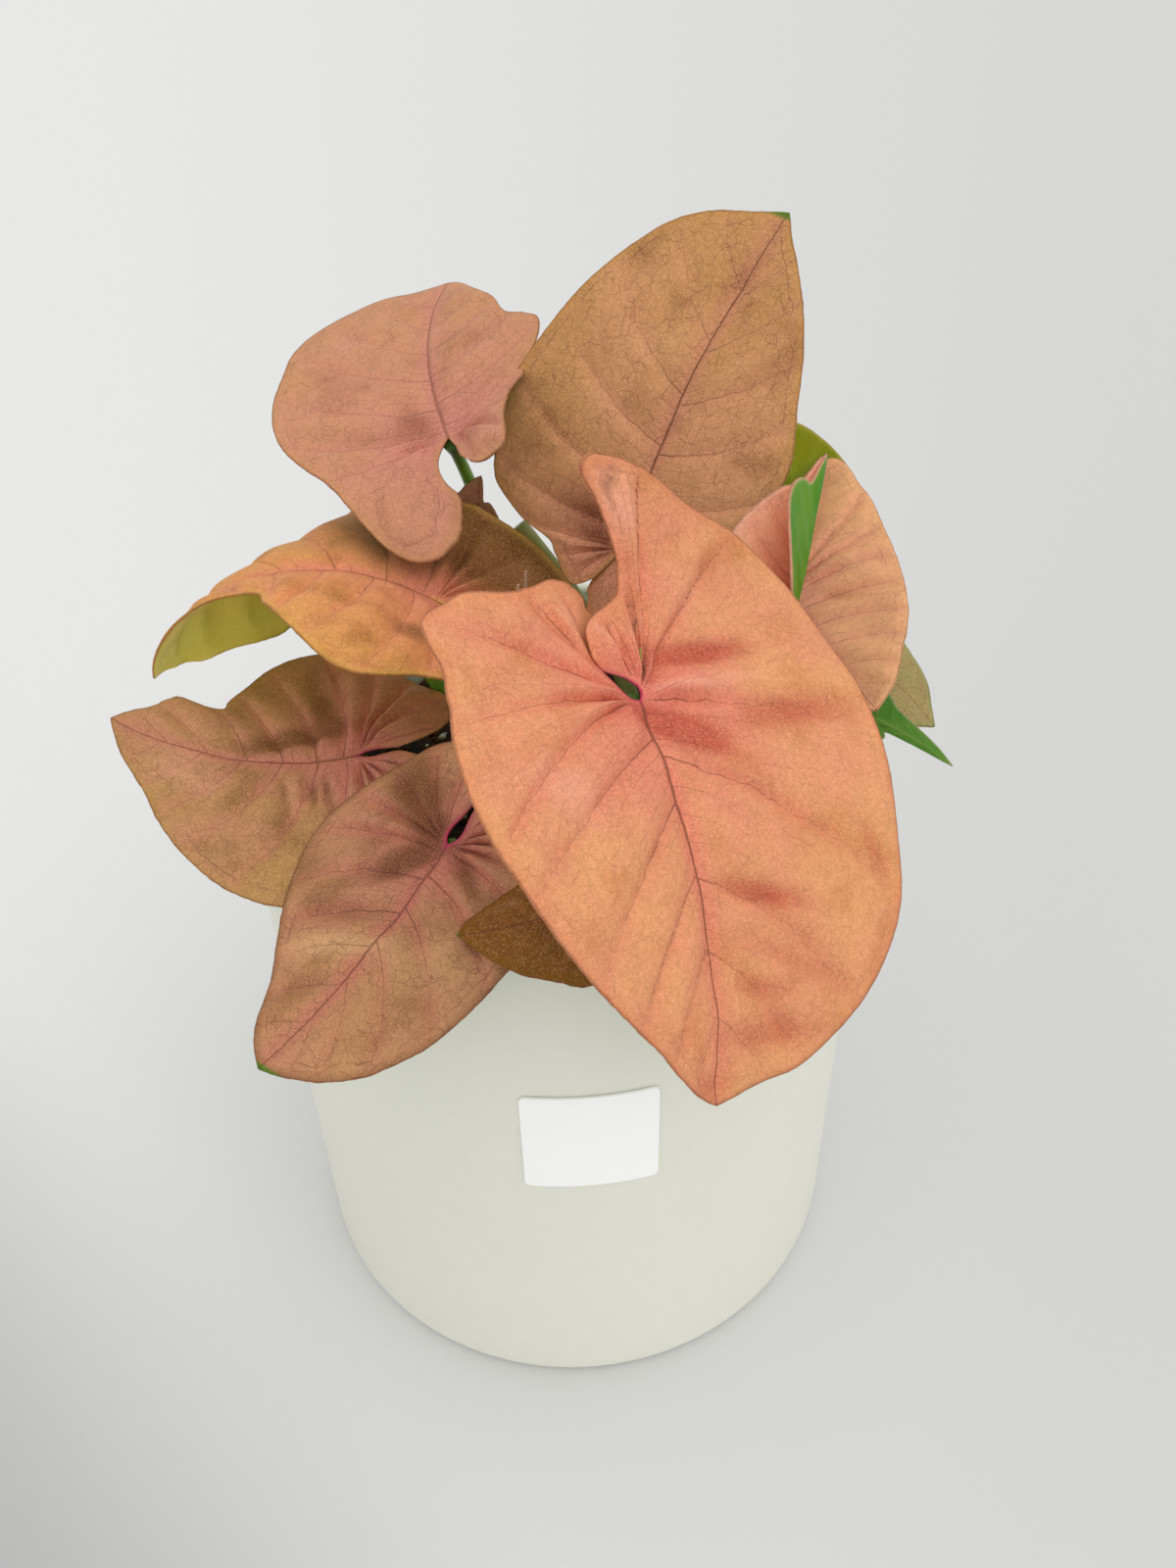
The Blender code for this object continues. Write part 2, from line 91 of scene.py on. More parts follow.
# Colours from the foot to the tip.
STALK_TINTS = ("93A85A", "6F9A2E", "3F5C1A")
SHOOT_TINTS = {
    "sheath": ("7E8A40", "8C8C50", "9A9A62"),
    "spear": ("8C8C50", "A88868", "B8927A"),
    "small_spear": ("8C8C50", "A88868", "B8927A"),
}
POT_WHITE = "ECECDF"
LABEL_WHITE = "FCFCFA"
RIM_PINK = "C23A62"
TIP_GREEN = "627A2A"
SPECK_TAN = "E6B98C"
PALE_GREEN = (0.5, 0.55, 0.12, 1)

# Hollows (and, with a negative depth, swells) pressed into the blades, the hollows also darkened with painted
# shade and the swells lightened with painted light: place along and across the flat leaf (positive to its
# left), half length, half width, bearing in degrees and depth.
HOLLOWS = {
    "leaf_front": (
        (-7, 15, 11, 2.6, 91, 1.5), (6, 6, 9, 2.8, 58, 1.6), (-1, 9, 9, 1.3, 85, -0.6),
        (6, 28, 21, 3.6, 88, 0.8), (33, 12, 9, 2.2, 72, 1.1), (43, 15, 16, 2.4, 64, 0.7),
        (47, 10, 9, 2.4, 79, 0.7), (54, 11, 14, 3.2, 84, 0.8), (30, 37, 6, 1.8, 25, 0.5),
        (-9, -8, 14, 1.6, 35, 0.9), (-11, -3, 9, 1.1, 32, -0.5), (-9, -20, 15, 1.9, 58, 0.5),
        (15, -22, 8, 6, 18, -0.4), (16, -4, 9, 3.6, 9, 0.3), (60, -3, 4, 2.4, 61, 0.8),
        (-13, 31, 8, 4.8, 40, -0.2), (-31, 0, 7, 5, 40, -0.8), (-18, 14, 9, 5, 7, -0.4),
        (-14, -8, 5, 3, 13, -0.6), (-2, 21, 12, 1.8, 82, -0.5), (24, 24, 15, 11, 70, 0.3)),
    "leaf_front_left": (
        (5, -5, 8, 2.8, 137, 1.6), (-2, -5, 4, 2.2, 91, 1.2), (17, -8, 10, 3.1, 108, 0.7),
        (22, -5, 10, 2.9, 123, -0.9), (29, -4, 6, 2.4, 129, 0.4), (4, 8, 8, 1.7, 60, 0.9),
        (9, 2, 4, 1.8, 30, -0.4), (11, -23, 9, 2.2, 15, 0.3), (12, 5, 4, 1.8, 56, 0.4),
        (9, -17, 6, 3.6, 143, 0.3), (-6, -12, 7, 4.5, 74, 1.5), (14, -21, 5, 3, 178, 0.4),
        (37, 4, 5, 4, 96, -0.3), (18, 11, 9, 6, 120, -0.6)),
    "leaf_lower_left": (
        (12, -6, 10, 2.6, 20, 1.6), (6, -13, 9, 3.1, 109, 1.2), (1, -13, 9, 1.6, 87, -0.8),
        (22, -11, 6, 2.6, 141, 0.7), (18, -18, 8, 3.1, 142, 0.6), (12, 7, 3, 1.1, 107, 0.9),
        (7, 8, 4, 1.2, 100, 1.2), (5, 7, 4, 1, 99, 1), (20, 9, 8, 2.2, 53, 0.7), (12, 13, 4, 1.7, 68, 0.8),
        (10, 8, 6, 1.1, 98, -0.7), (6, 8, 4, 0.7, 96, -0.5), (23, 9, 8, 2.2, 68, -0.3),
        (27, 1, 10, 1.6, 179, -0.3), (3, 13, 4, 1.8, 76, 0.5), (30, 6, 7, 5, 160, -0.5)),
    "leaf_left": (
        (-6, -19, 21, 9.6, 14, 2.2), (12, 14, 15, 1.9, 175, 0.5), (2, 17, 4, 3, 165, 0.9),
        (7, -3, 4, 2.4, 159, -0.5), (31, -4, 16, 4.8, 167, -0.3)),
    "leaf_upper_left": (
        (34, 16, 10, 3.6, 87, -0.3), (23, 17, 18, 2.2, 47, 0.5), (14, 16, 15, 2.9, 53, -0.3),
        (5, 13, 14, 2.9, 66, 0.6), (25, -1, 21, 1.4, 3, -0.4), (22, -11, 6, 2.4, 108, 0.5),
        (7, -10, 9, 1.2, 113, 0.5), (-12, 16, 8, 1.4, 176, 0.6), (-14, 8, 10, 3.6, 176, -0.3),
        (6, 5, 5, 3, 43, 1.2), (-1, -7, 5, 3, 144, -0.4)),
    "leaf_back": (
        (2, 4, 8, 4.8, 66, 1.2), (3, 12, 9, 3.6, 74, 0.5), (30, -8, 15, 1.7, 140, 0.4),
        (20, -15, 12, 2.4, 122, 0.4), (36, -8, 10, 3.6, 144, -0.3), (50, 1, 6, 1.8, 168, 0.3),
        (42, 18, 10, 6, 125, -0.2), (27, 18, 16, 4.8, 67, -0.2), (35, 5, 7, 5, 55, -0.5),
        (20, 15, 7, 5, 52, -0.3), (50, -3, 11, 9, 90, 0.3)),
    "leaf_right": (
        (10, 9, 10, 2.4, 38, 0.6), (4, 14, 8, 2.4, 36, -0.4), (25, -1, 9, 4.8, 14, 0.4),
        (-14, 20, 6, 3, 77, -0.3)),
    "leaf_rim": (
        (9, 2, 4, 2.4, 139, 0.5), (13, -5, 6, 1.8, 9, -0.3)),
}

# Side veins: where each leaves the midrib (share of the leaf's length), the bearing of its end, and how far
# its first direction turns from the straight way to that end (degrees, away from the tip).
SIDE_VEINS = ((0, 161, -16), (0, 138, -12), (0, 116, -4), (0, 95, 5), (0.04, 75, 14), (0.15, 53, 18),
              (0.29, 36, 16), (0.44, 24, 13), (0.6, 14, 10), (0.76, 7, 8))
FRONT_LEFT_VEINS = ((0, 178, -24), (0, 150, -28), (0, 131, -38), (0, 124, -28), (0, 112, -3), (0, 76, 8),
                    (0.13, 46, 13), (0.44, 27, 18), (0.62, 15, 14), (0.78, 8, 11))
FRONT_RIGHT_VEINS = ((0, 116, -12), (0, 109, -2), (0, 97, 2), (0, 86, 6), (0, 60, 20), (0.11, 50, 9),
                     (0.28, 31, 9), (0.46, 20, 12), (0.63, 12, 10), (0.78, 6, 9))


def leaf(joint, turn, pitch, roll, left, right, crown, **shape):
    """One leaf's dimensions in millimetres and degrees, with everything that it doesn't name at rest."""
    values = dict(droop=0, sag=0, fold=(0, 0), curl=(0, 0), sweep=0, hook=(0, 0), crease=None, pinch=(0, 0),
                  low=None, bow=None, dip=90, size=1, sinus=170, veins=(SIDE_VEINS, SIDE_VEINS), rings=32,
                  step=1.6, wave=0.35, groove=0.25, pillow=0.5)
    values.update(shape, joint=joint, turn=turn, pitch=pitch, roll=roll, left=left, right=right, crown=crown)
    values.setdefault("tip_fold", values["fold"])
    values.setdefault("tip_curl", values["curl"])
    return values


LEAVES = {
    "leaf_front": leaf(
        (13.5, -50, 175.5), -65, -30, -26,
        ((0, 63.5), (8, 62), (15, 62.5), (24, 61.5), (32, 60), (46, 56), (61, 49.5), (75, 47.5), (89, 45.5),
         (102, 42), (112, 38), (120, 35.8), (124.7, 37.8), (127, 38.8), (129.3, 37.8), (131.6, 36),
         (134.5, 32.5), (139, 28), (144.4, 23.5), (150, 20.3), (156.6, 17.8), (168, 16), (179, 15),
         (190, 14.2), (198, 13), (204.4, 11.3), (212, 9.5), (219, 7)),
        ((0, 63.5), (4, 61), (9, 57.5), (15, 53.5), (22, 50.5), (31, 47.5), (47, 43.5), (65, 40.5),
         (83, 37.5), (92, 35.8), (94.8, 35.8), (96.6, 38.5), (98.2, 35.8), (100.2, 32.8), (103, 28.5),
         (109.6, 23.3), (114.2, 22.2), (119.5, 20.5), (124, 18.8), (126.6, 17.3), (131, 16.2)),
        "stalks_right", droop=39, sag=-56, fold=(7, 7), curl=(1.5, -4.5), sweep=1, hook=(60, 280),
        crease=(-103, -20, 3), size=0.975, pinch=(95, 45), veins=(FRONT_LEFT_VEINS, FRONT_RIGHT_VEINS),
        rings=56, step=1, wave=0.6, groove=0.4, pillow=1),
    "leaf_back": leaf(
        (13.5, 14.5, 166.5), 35, 69, 15,
        ((0, 62.5), (6, 60.5), (11, 59.5), (16, 57.5), (24, 52.5), (32, 47.5), (41, 42.5), (56, 37),
         (75, 30.5), (84, 27.5), (89, 24), (94, 21), (101, 16), (115, 13.7), (134, 13), (144, 12), (152, 8)),
        ((0, 62.5), (3, 59), (7, 55.7), (12, 52), (19, 47.5), (31, 40.5), (48, 34), (62, 26), (80, 20),
         (110, 18), (140, 19), (160, 20), (178, 19), (192, 16), (203, 12), (208, 11.5), (213, 9)),
        "stalks_right", droop=22, sag=-11, fold=(13, 5), curl=(1, -2), sweep=-5, size=1.06,
        rings=50, step=1, wave=0.4, pillow=0.6),
    "leaf_upper_left": leaf(
        (-19.5, 26, 185), 109, 19, -21,
        ((0, 56.5), (7, 55), (13, 56), (20, 53.5), (28, 51), (37, 46), (43, 41.7), (53, 37.5), (70, 31.7),
         (88, 25.4), (97, 22.8), (103.5, 23), (109, 25), (111.5, 24.3), (115.7, 22), (120, 19.8), (125.4, 17),
         (133.3, 14), (138.4, 12)),
        ((0, 56.5), (13, 42.5), (25, 35), (34, 30), (46, 29), (54, 28.5), (61, 25), (68, 19.5), (77, 17.5),
         (90, 16.5), (105, 15.5), (120, 16.3), (134, 18.6), (147, 22.5), (153, 21), (159, 18.8), (166, 12)),
        "stalks_left", droop=26, sag=50, fold=(12, 6), curl=(0.5, 0), sweep=-11.5, hook=(188, 0),
        crease=(-65, 45, 5), size=1.06, low=(-12, 44, 150), bow=26, dip=105, rings=46, step=1.1, pillow=0.8),
    "leaf_left": leaf(
        (-22.5, 3.5, 162.5), 174, 32, 5,
        (66, 45.5, 33, 31, 31.5, 33, 25.5, 25, 29, 31, 13.5),
        (66, 68, 64.5, 58.5, 40.5, 28, 25.5, 28.5, 31.5, 31.5, 13.5),
        "stalks_left", droop=99, sag=15, fold=(13, 21), tip_fold=(16, -6), curl=(-9.5, 2),
        tip_curl=(-10, -34.5), sweep=-2.5, size=1.06, rings=46, step=1.1, pillow=0.9),
    "leaf_lower_left": leaf(
        (-37.1, -16.6, 141.7), 185, -9, 3,
        (42, 39.5, 36, 34.5, 33, 31, 26, 24, 21, 17, 7),
        ((0, 42), (7, 39.2), (12, 37), (18, 35.5), (21, 34), (22.8, 30), (25.5, 27.5), (31, 27.8), (43, 28.8),
         (56, 30.8), (68, 32), (80, 30.8), (96, 25), (120, 19.8), (140, 20), (153, 18.5), (177, 7)),
        "stalks_left", droop=-36, sag=21, fold=(-8, 8), curl=(-5.5, 0), sweep=-7, size=1.102, sinus=177,
        pinch=(30, 30), rings=44, step=1.1, wave=0.6, pillow=1),
    "leaf_front_left": leaf(
        (-18, -47, 145.5), 233, -28, 6,
        (44, 43, 41, 35.5, 28, 24, 22, 22, 23, 21.5, 8.5),
        (44, 40.5, 34.5, 30.5, 28, 26, 22, 20, 21, 20.5, 9),
        "stalks_left", droop=-10, sag=17, fold=(0, 2), curl=(-4, -0.5), sweep=-4, size=1.04, sinus=177,
        pinch=(45, 45), rings=44, step=1.1, wave=0.5, pillow=0.9),
    "leaf_rim": leaf(
        (5, -68, 152.5), 189, -22, 1,
        (23.5, 21.5, 19.5, 17.5, 15.5, 15.5, 14.5, 14, 13.5, 12, 4.5),
        (23.5, 22, 19, 16.5, 14.5, 13, 12.5, 13, 13.5, 12, 4.5),
        "stalks_right", droop=7, sag=8, fold=(-9, -4), curl=(-7, -5), sweep=-6, size=0.935,
        wave=0.2, groove=0.2, pillow=0.2),
    "leaf_right_folded": leaf(
        (41.5, -10.5, 160.5), 60, 54, 25,
        (35, 29.5, 28, 26, 24, 20, 16, 13.5, 12, 9.5, 5),
        (35, 29.5, 30, 28.5, 21, 15, 13, 12, 11, 9, 4.5),
        "stalks_right", droop=-3, sag=5, fold=(32, 95), tip_fold=(32, 130), curl=(1.5, -0.5), sweep=2.5,
        size=0.96, sinus=157, dip=15, low=(24, -18, 138), wave=0.2, groove=0.2, pillow=0.25),
    "leaf_right": leaf(
        (45.5, 16, 156), -71, -9, 12,
        (42, 38.5, 33, 28.5, 24.5, 22.5, 23.5, 28.5, 33, 22, 8),
        (42, 37.5, 31, 24, 20, 18, 18, 19, 20, 18, 8),
        "stalks_right", droop=-16, sag=-14, fold=(12, 5), curl=(-0.5, -3), sweep=-2,
        low=(26, 10, 140), bow=3, rings=38, step=1.3, wave=0.3, pillow=0.6),
    "leaf_behind": leaf(
        (51, 46, 145.5), -82, 84, 10,
        (35.5, 33, 29.5, 25.5, 22, 18.5, 14.5, 12, 11, 9, 4),
        (35.5, 33, 29.5, 25.5, 22, 18.5, 14.5, 12, 11, 9, 4),
        "stalks_right", droop=-3, sag=5, curl=(-3, -3), sweep=-4.5, dip=35,
        wave=0.2, groove=0.2, pillow=0.25),
    "leaf_right_low": leaf(
        (55.5, 12, 145), -10, -21, 10,
        (29, 27, 26, 22, 19, 16, 14.5, 15, 15.5, 14.5, 5.5),
        (29, 25.5, 23, 21, 18.5, 16, 14.5, 15, 15.5, 14.5, 5.5),
        "stalks_right", droop=34, sag=5, fold=(4, -1), curl=(-2.5, -3), sweep=-1.5, size=1.015,
        wave=0.2, groove=0.2, pillow=0.25),
    "leaf_right_curled": leaf(
        (55, -7, 143), -20, -8, -109,
        (22, 10, 9, 8.5, 9, 9, 10, 10.5, 11, 10, 4.5),
        (22, 14.5, 10.5, 9, 9, 9, 9.5, 10.5, 11, 10, 4.5),
        "stalks_right", droop=17, sag=5, curl=(-3, -3), sweep=4, size=1.02,
        wave=0.15, groove=0.15, pillow=0.15),
    "leaf_young": leaf(
        (-17, 30, 162.5), 15, 77, 66,
        (12.5, 11.5, 10, 8.5, 7.5, 6.5, 6, 6, 6, 5.5, 2.5),
        (12.5, 8, 8, 7.5, 7, 6.5, 6, 6, 6, 5.5, 2.5),
        "stalks_left", droop=5, sag=5, fold=(12, 12), dip=35, wave=0.1, groove=0.1, pillow=0.1, rings=18),
}


def hue(code):
    """A colour written as six hexadecimal digits, as linear light."""
    channels = [int(code[k:k + 2], 16) / 255 for k in (0, 2, 4)]
    return tuple(c / 12.92 if c < 0.04045 else ((c + 0.055) / 1.055) ** 2.4 for c in channels) + (1.0,)


def tint(main, patch, glow, under, **others):
    """Blade colours as hexadecimal codes, among them the painted shade of the hollows and the painted light
    on the swells, and the strength of patches, net, vein lines and grain.
    """
    values = dict(main=main, patch=patch, glow=glow, under=under, vein="7A4A34", margin=patch, shade="7A5A34",
                  hollow="7A4A30", swell="E8B48C", deep=0.8, blots=0.55, share=0.6, net=0.3, lines=0.7,
                  glowing=0.8, grain=0.26, tip=0.0, rim=0.0)
    return dict(values, **others)


TINTS = {
    "leaf_front": tint(
        "E28C6E", "E2A668", "E07468", "9AA84A", margin="DE8C60", shade="CC804C", hollow="BC5440",
        swell="FAB498", deep=0.9, net=0.08, lines=0.75, rim=1.0),
    "leaf_back": tint(
        "D4966C", "BE8C4C", "D08470", "8A9A3A", shade="9A643A", hollow="7C3E2A", swell="DCA474", net=0.5,
        lines=0.8, tip=1.0),
    "leaf_upper_left": tint(
        "CA8A6E", "C89060", "D08078", "5E8A2C", shade="9E6044", hollow="965640", swell="DCA084", blots=0.35,
        lines=0.5),
    # Its underside's own yellow-green is made extra bright: painted light that stands in for light shining
    # through the blade.
    "leaf_left": tint(
        "DE8E58", "DAA450", "E28470", "F0DC60", shade="9E6420", hollow="5E3C0A", swell="E0A070", net=0.2,
        lines=0.5),
    "leaf_lower_left": tint(
        "C8886C", "B48A4E", "D47C76", "6E8A34", shade="8A6230", hollow="66400E", swell="DCA280", deep=0.65,
        share=0.8, net=0.35, rim=0.6),
    "leaf_front_left": tint(
        "C08264", "BE8E5A", "C86A66", "6E8A34", margin="8E6440", shade="8A5A34", hollow="5A2E0C",
        swell="DAAC78", deep=0.7, net=0.5, tip=1.0, rim=1.0),
    "leaf_rim": tint(
        "8A500E", "7C540C", "98582A", "6E8A34", shade="64400A", hollow="4A2A06", net=0.4, tip=1.0),
    # Its own peach colours are made lighter: painted light, as the blade lies in shade.
    "leaf_right_folded": tint("FFB694", "FFC09A", "F8A890", "4A8A06", margin="E8AC90", net=0.2, lines=0.3),
    "leaf_right": tint("ECA67C", "ECB07C", "DA887A", "8A9A3A", hollow="B4724A", blots=0.15, lines=0.35),
    "leaf_behind": tint("B98864", "C49A6C", "C07C6C", "909A0C"),
    "leaf_right_low": tint("988A52", "A4985E", "AC8A5A", "7E9A44", margin="8CA05C", lines=0.4, tip=1.0),
    "leaf_right_curled": tint("8CA05C", "98A868", "A8A070", "5A9236", margin="A0A878", lines=0.4),
    "leaf_young": tint("A06A4C", "A87C58", "B46C5C", "6E8A34", net=0.2, lines=0.3),
}


# Node trees. A Signal is one output of a node, and arithmetic on it adds math nodes.

class Signal:
    def __init__(self, tree, socket):
        self.tree = tree
        self.socket = socket

    def math(self, operation, *others):
        return joined(self.tree, "ShaderNodeMath", operation, self, *others)

    def __add__(self, other):
        return self.math("ADD", other)

    def __sub__(self, other):
        return self.math("SUBTRACT", other)

    def __mul__(self, other):
        return self.math("MULTIPLY", other)

    def __truediv__(self, other):
        return self.math("DIVIDE", other)

    def __rtruediv__(self, other):
        return joined(self.tree, "ShaderNodeMath", "DIVIDE", other, self)

    def __abs__(self):
        return self.math("ABSOLUTE")

    def scaled(self, factor, offset=(0, 0, 0)):
        """A vector times another, plus an offset."""
        return joined(self.tree, "ShaderNodeVectorMath", "MULTIPLY_ADD", self, factor, offset)

    def split(self):
        """The three parts of a vector."""
        parts = put(self.tree, "ShaderNodeSeparateXYZ", Vector=self).outputs
        return [Signal(self.tree, part) for part in parts]


def joined(tree, kind, operation, *terms):
    """The result of a math node on the terms."""
    made = put(tree, kind, operation=operation)
    for socket, term in zip(made.inputs, terms):
        feed(tree, socket, term)
    return Signal(tree, made.outputs[0])


def put(tree, kind, **values):
    """A new node, with its properties or its input sockets set by name."""
    made = tree.nodes.new(kind)
    for key, value in values.items():
        if key in made.bl_rna.properties:
            setattr(made, key, value)
    for key, value in values.items():
        if key not in made.bl_rna.properties:
            feed(tree, made.inputs[key.replace("_", " ")], value)
    return made


def signal(tree, kind, output=0, **values):
    """One output of a new node."""
    return Signal(tree, put(tree, kind, **values).outputs[output])


def feed(tree, socket, value):
    """Links a signal to the socket, or sets the socket's own value."""
    if isinstance(value, Signal):
        tree.links.new(value.socket, socket)
    else:
        socket.default_value = value


def deliver(tree, out, **values):
    """Links a group's results to its output node."""
    for name, value in values.items():
        feed(tree, out.inputs[name], value)


def blend(share, first, second, kind="MIX"):
    """The second colour over the first by the share."""
    tree = next(term.tree for term in (share, second) if isinstance(term, Signal))
    made = put(tree, "ShaderNodeMix", data_type="RGBA", blend_type=kind)
    for socket, value in zip((made.inputs[0], made.inputs[6], made.inputs[7]), (share, first, second)):
        feed(tree, socket, value)
    return Signal(tree, made.outputs[2])


def ramp(value, low, high, start=0.0, end=1.0):
    """A smooth step of the value from low to high."""
    made = put(value.tree, "ShaderNodeMapRange", interpolation_type="SMOOTHSTEP")
    for socket, term in zip(made.inputs, (value, low, high, start, end)):
        feed(value.tree, socket, term)
    return Signal(value.tree, made.outputs[0])


def cloud(place, scale, detail, **others):
    """Soft noise on a place."""
    return signal(place.tree, "ShaderNodeTexNoise", Vector=place, Scale=scale, Detail=detail, **others)


def sockets(tree, inputs, outputs, result="Float"):
    """Declares a group's inputs, each with its default or its kind, and its outputs."""
    for name, value in inputs.items():
        kind = value if isinstance(value, str) else "Int" if isinstance(value, int) else "Float"
        made = tree.interface.new_socket(name, in_out="INPUT", socket_type="NodeSocket" + kind)
        if kind != value:
            made.default_value = value
    for name in outputs:
        tree.interface.new_socket(name, in_out="OUTPUT", socket_type="NodeSocket" + result)
    given = tree.nodes.new("NodeGroupInput").outputs
    return {name: Signal(tree, given[name]) for name in inputs}, tree.nodes.new("NodeGroupOutput")


def grain_group():
    """Fine mottling on a position in millimetres: brightness, pale specks and height from three noises."""
    tree = bpy.data.node_groups.new("fine_grain", "ShaderNodeTree")
    get, out = sockets(tree, {"Place": "Vector", "Size": 0.5, "Depth": 0.1}, ("Shade", "Specks", "Height"))
    fine, middle, wide = [cloud(get["Place"], rate / get["Size"], detail)
                          for rate, detail in ((1.0, 1.5), (0.3, 2.0), (0.07, 3.0))]
    uneven = fine * 1.6 + middle * 1.2 + wide * 0.8 - 1.8
    deliver(tree, out, Shade=uneven * get["Depth"] + 1.0, Specks=ramp(fine, 0.48, 0.66), Height=fine)
    return tree


def drawn(distance, width, strength):
    """A soft-edged line of the given half width along zero distance."""
    return ramp(distance, width, width * 0.4) * strength


def vein_group():
    """Vein lines of a blade: midrib, side veins, collecting vein and the fine net between them."""
    tree = bpy.data.node_groups.new("blade_veins", "ShaderNodeTree")
    get, out = sockets(tree, {"Flat": "Vector", "Phase": 0.0, "Gap": 1.0, "Edge": 9.0, "Length": 60.0,
                              "Cell": 2.2}, ("Lines", "Net", "Height"))
    flat = get["Flat"]
    x, y, _ = flat.split()
    along = signal(tree, "ShaderNodeClamp", Value=x / get["Length"])
    across = abs(y)
    wander = cloud(flat, 0.22, 2.0)
    stray = wander - 0.5
    lines = drawn(abs(stray * 0.5 + y), along * -0.22 + 0.34, ramp(x, -1.0, 0.4))
    phase = stray * ramp(across, 0.0, 6.0, 0.0, 0.16) + get["Phase"]
    fade = 1.0 / (across * 0.07 + 1.0)
    inside = ramp(get["Edge"], 1.0, 3.2) * ramp(along, 0.2, 0.7, 1.0, 0.4)
    for shift, width, strength in ((0.0, 0.17, 1.0), (0.3, 0.09, 0.4), (0.52, 0.08, 0.3), (0.75, 0.09, 0.4)):
        moved = phase + shift
        off = abs(moved - moved.math("ROUND")) * get["Gap"]
        lines = lines.math("MAXIMUM", drawn(off, fade * width, inside * fade * strength))
    collect = drawn(abs(stray * 2.6 + get["Edge"] - 2.5), 0.13, ramp(wander, 0.4, 0.58))
    sway = signal(tree, "ShaderNodeTexNoise", "Color", Vector=flat, Scale=0.6, Detail=1.0)
    bent_to = sway.scaled((1.6, 1.6, 0.0), flat)
    coarse, small = [
        ramp(signal(tree, "ShaderNodeTexVoronoi", "Distance", feature="DISTANCE_TO_EDGE", Vector=bent_to,
                    Scale=1.0 / (get["Cell"] * share)), width, 0.0)
        for share, width in ((1.0, 0.032), (0.4, 0.05))]
    net = (coarse * 0.8 + small * 0.4) * ramp(wander, 0.34, 0.6, 0.35, 1.0)
    net = net.math("MAXIMUM", collect)
    deliver(tree, out, Lines=lines, Net=net, Height=net * -0.4 - lines)
    return tree


GRAIN = grain_group()
VEINS = vein_group()


def new_material(name, roughness, **constants):
    """An empty Principled material: its tree and its shader."""
    mat = bpy.data.materials.new(name)
    mat.use_nodes = True
    shader = mat.node_tree.nodes["Principled BSDF"]
    for key, value in dict(constants, Roughness=roughness).items():
        shader.inputs[key.replace("_", " ")].default_value = value
    return mat, mat.node_tree, shader


def grouped(tree, group, **values):
    """The outputs of a group placed in a material with its own values."""
    made = put(tree, "ShaderNodeGroup", node_tree=group)
    for key, value in values.items():
        feed(tree, made.inputs[key], value)
    return {socket.name: Signal(tree, socket) for socket in made.outputs}


def finish_skin(shader, colour, grains, height, distance, strength):
    """Base colour, made lighter and darker by each grain, and the bump."""
    for grain in grains:
        colour = blend(1.0, colour, grain["Shade"], "MULTIPLY")
    feed(height.tree, shader.inputs["Base Color"], colour)
    feed(height.tree, shader.inputs["Normal"],
         signal(height.tree, "ShaderNodeBump", Height=height, Distance=distance * MM, Strength=strength))


def reading(tree, name):
    return signal(tree, "ShaderNodeAttribute", "Fac", attribute_name=name)


def flat_place(tree, seed):
    """The blade's own flat position in millimetres, from its UV map, and a shifted copy for noise."""
    uv = signal(tree, "ShaderNodeUVMap", uv_map="flat")
    flat = uv.scaled((FLAT_SPAN, FLAT_SPAN, 0), (-FLAT_SPAN / 2, -FLAT_SPAN / 2, 0))
    return flat, flat.scaled((1, 1, 1), (seed * 37.0, seed * 53.0, seed * 11.0))


def blade_veins(tree, shape, flat, cell):
    return grouped(tree, VEINS, Flat=flat, Phase=reading(tree, "phase"), Gap=reading(tree, "gap"),
                   Edge=reading(tree, "edge"), Length=leaf_length(shape) * shape["size"], Cell=cell)


def blade_top(name, shape, seed):
    """The upper skin of a blade: its colours one over another, from the broad ones to the tip's dot, with
    painted shade in the hollows and painted light on the swells.
    """
    look = TINTS[name]
    mat, tree, shader = new_material(name + "_top", 0.5, Specular_IOR_Level=0.1)
    flat, place = flat_place(tree, seed)
    length = leaf_length(shape) * shape["size"]
    edge = reading(tree, "edge")
    veins = blade_veins(tree, shape, flat, 2.7)
    grain = grouped(tree, GRAIN, Place=place, Size=0.3, Depth=look["grain"])
    clouds = cloud(place, 0.06, 3.0, Roughness=0.55)
    away = signal(tree, "ShaderNodeVectorMath", "Value", operation="LENGTH", Vector=flat)
    outer = ramp(clouds, 0.38, 0.62) + ramp(away, 0.15 * length, 0.75 * length)
    # The hollows' depth with some random tone: the mask of the painted shade and painted light below.
    dent = (clouds - 0.5) * 0.8 + reading(tree, "dent")
    colour = hue(look["main"])
    for share, code in (
            (outer * (0.6 * look["share"]), look["patch"]),
            (ramp(cloud(place, 0.11, 2.0), 0.5, 0.74, 0.0, look["blots"]), look["shade"]),
            (reading(tree, "glow") * look["glowing"], look["glow"]),
            # Painted shade darkens the hollows and painted light brightens the swells.
            (ramp(dent, 0.05, 1.3, 0.0, look["deep"]), look["hollow"]),
            (ramp(dent, -0.1, -1.0, 0.0, 0.7), look["swell"]),
            (grain["Specks"] * 0.2, SPECK_TAN),
            (ramp(edge, 1.8, 0.2, 0.0, 0.5), look["margin"]),
            (ramp(edge, 0.28, 0.1, 0.0, 0.4), look["vein"]),
            (veins["Net"] * look["net"], look["vein"]),
            (veins["Lines"] * look["lines"], look["vein"]),
            (reading(tree, "rim") * look["rim"], RIM_PINK),
            (ramp(flat.split()[0] / length, 0.972, 0.988) * look["tip"], TIP_GREEN)):
        colour = blend(share, colour, hue(code))
    feed(tree, shader.inputs["Roughness"], grain["Height"] * 0.2 + 0.44)
    finish_skin(shader, colour, [grain], grain["Height"] * 0.4 + veins["Height"], 0.2, 0.8)
    return mat


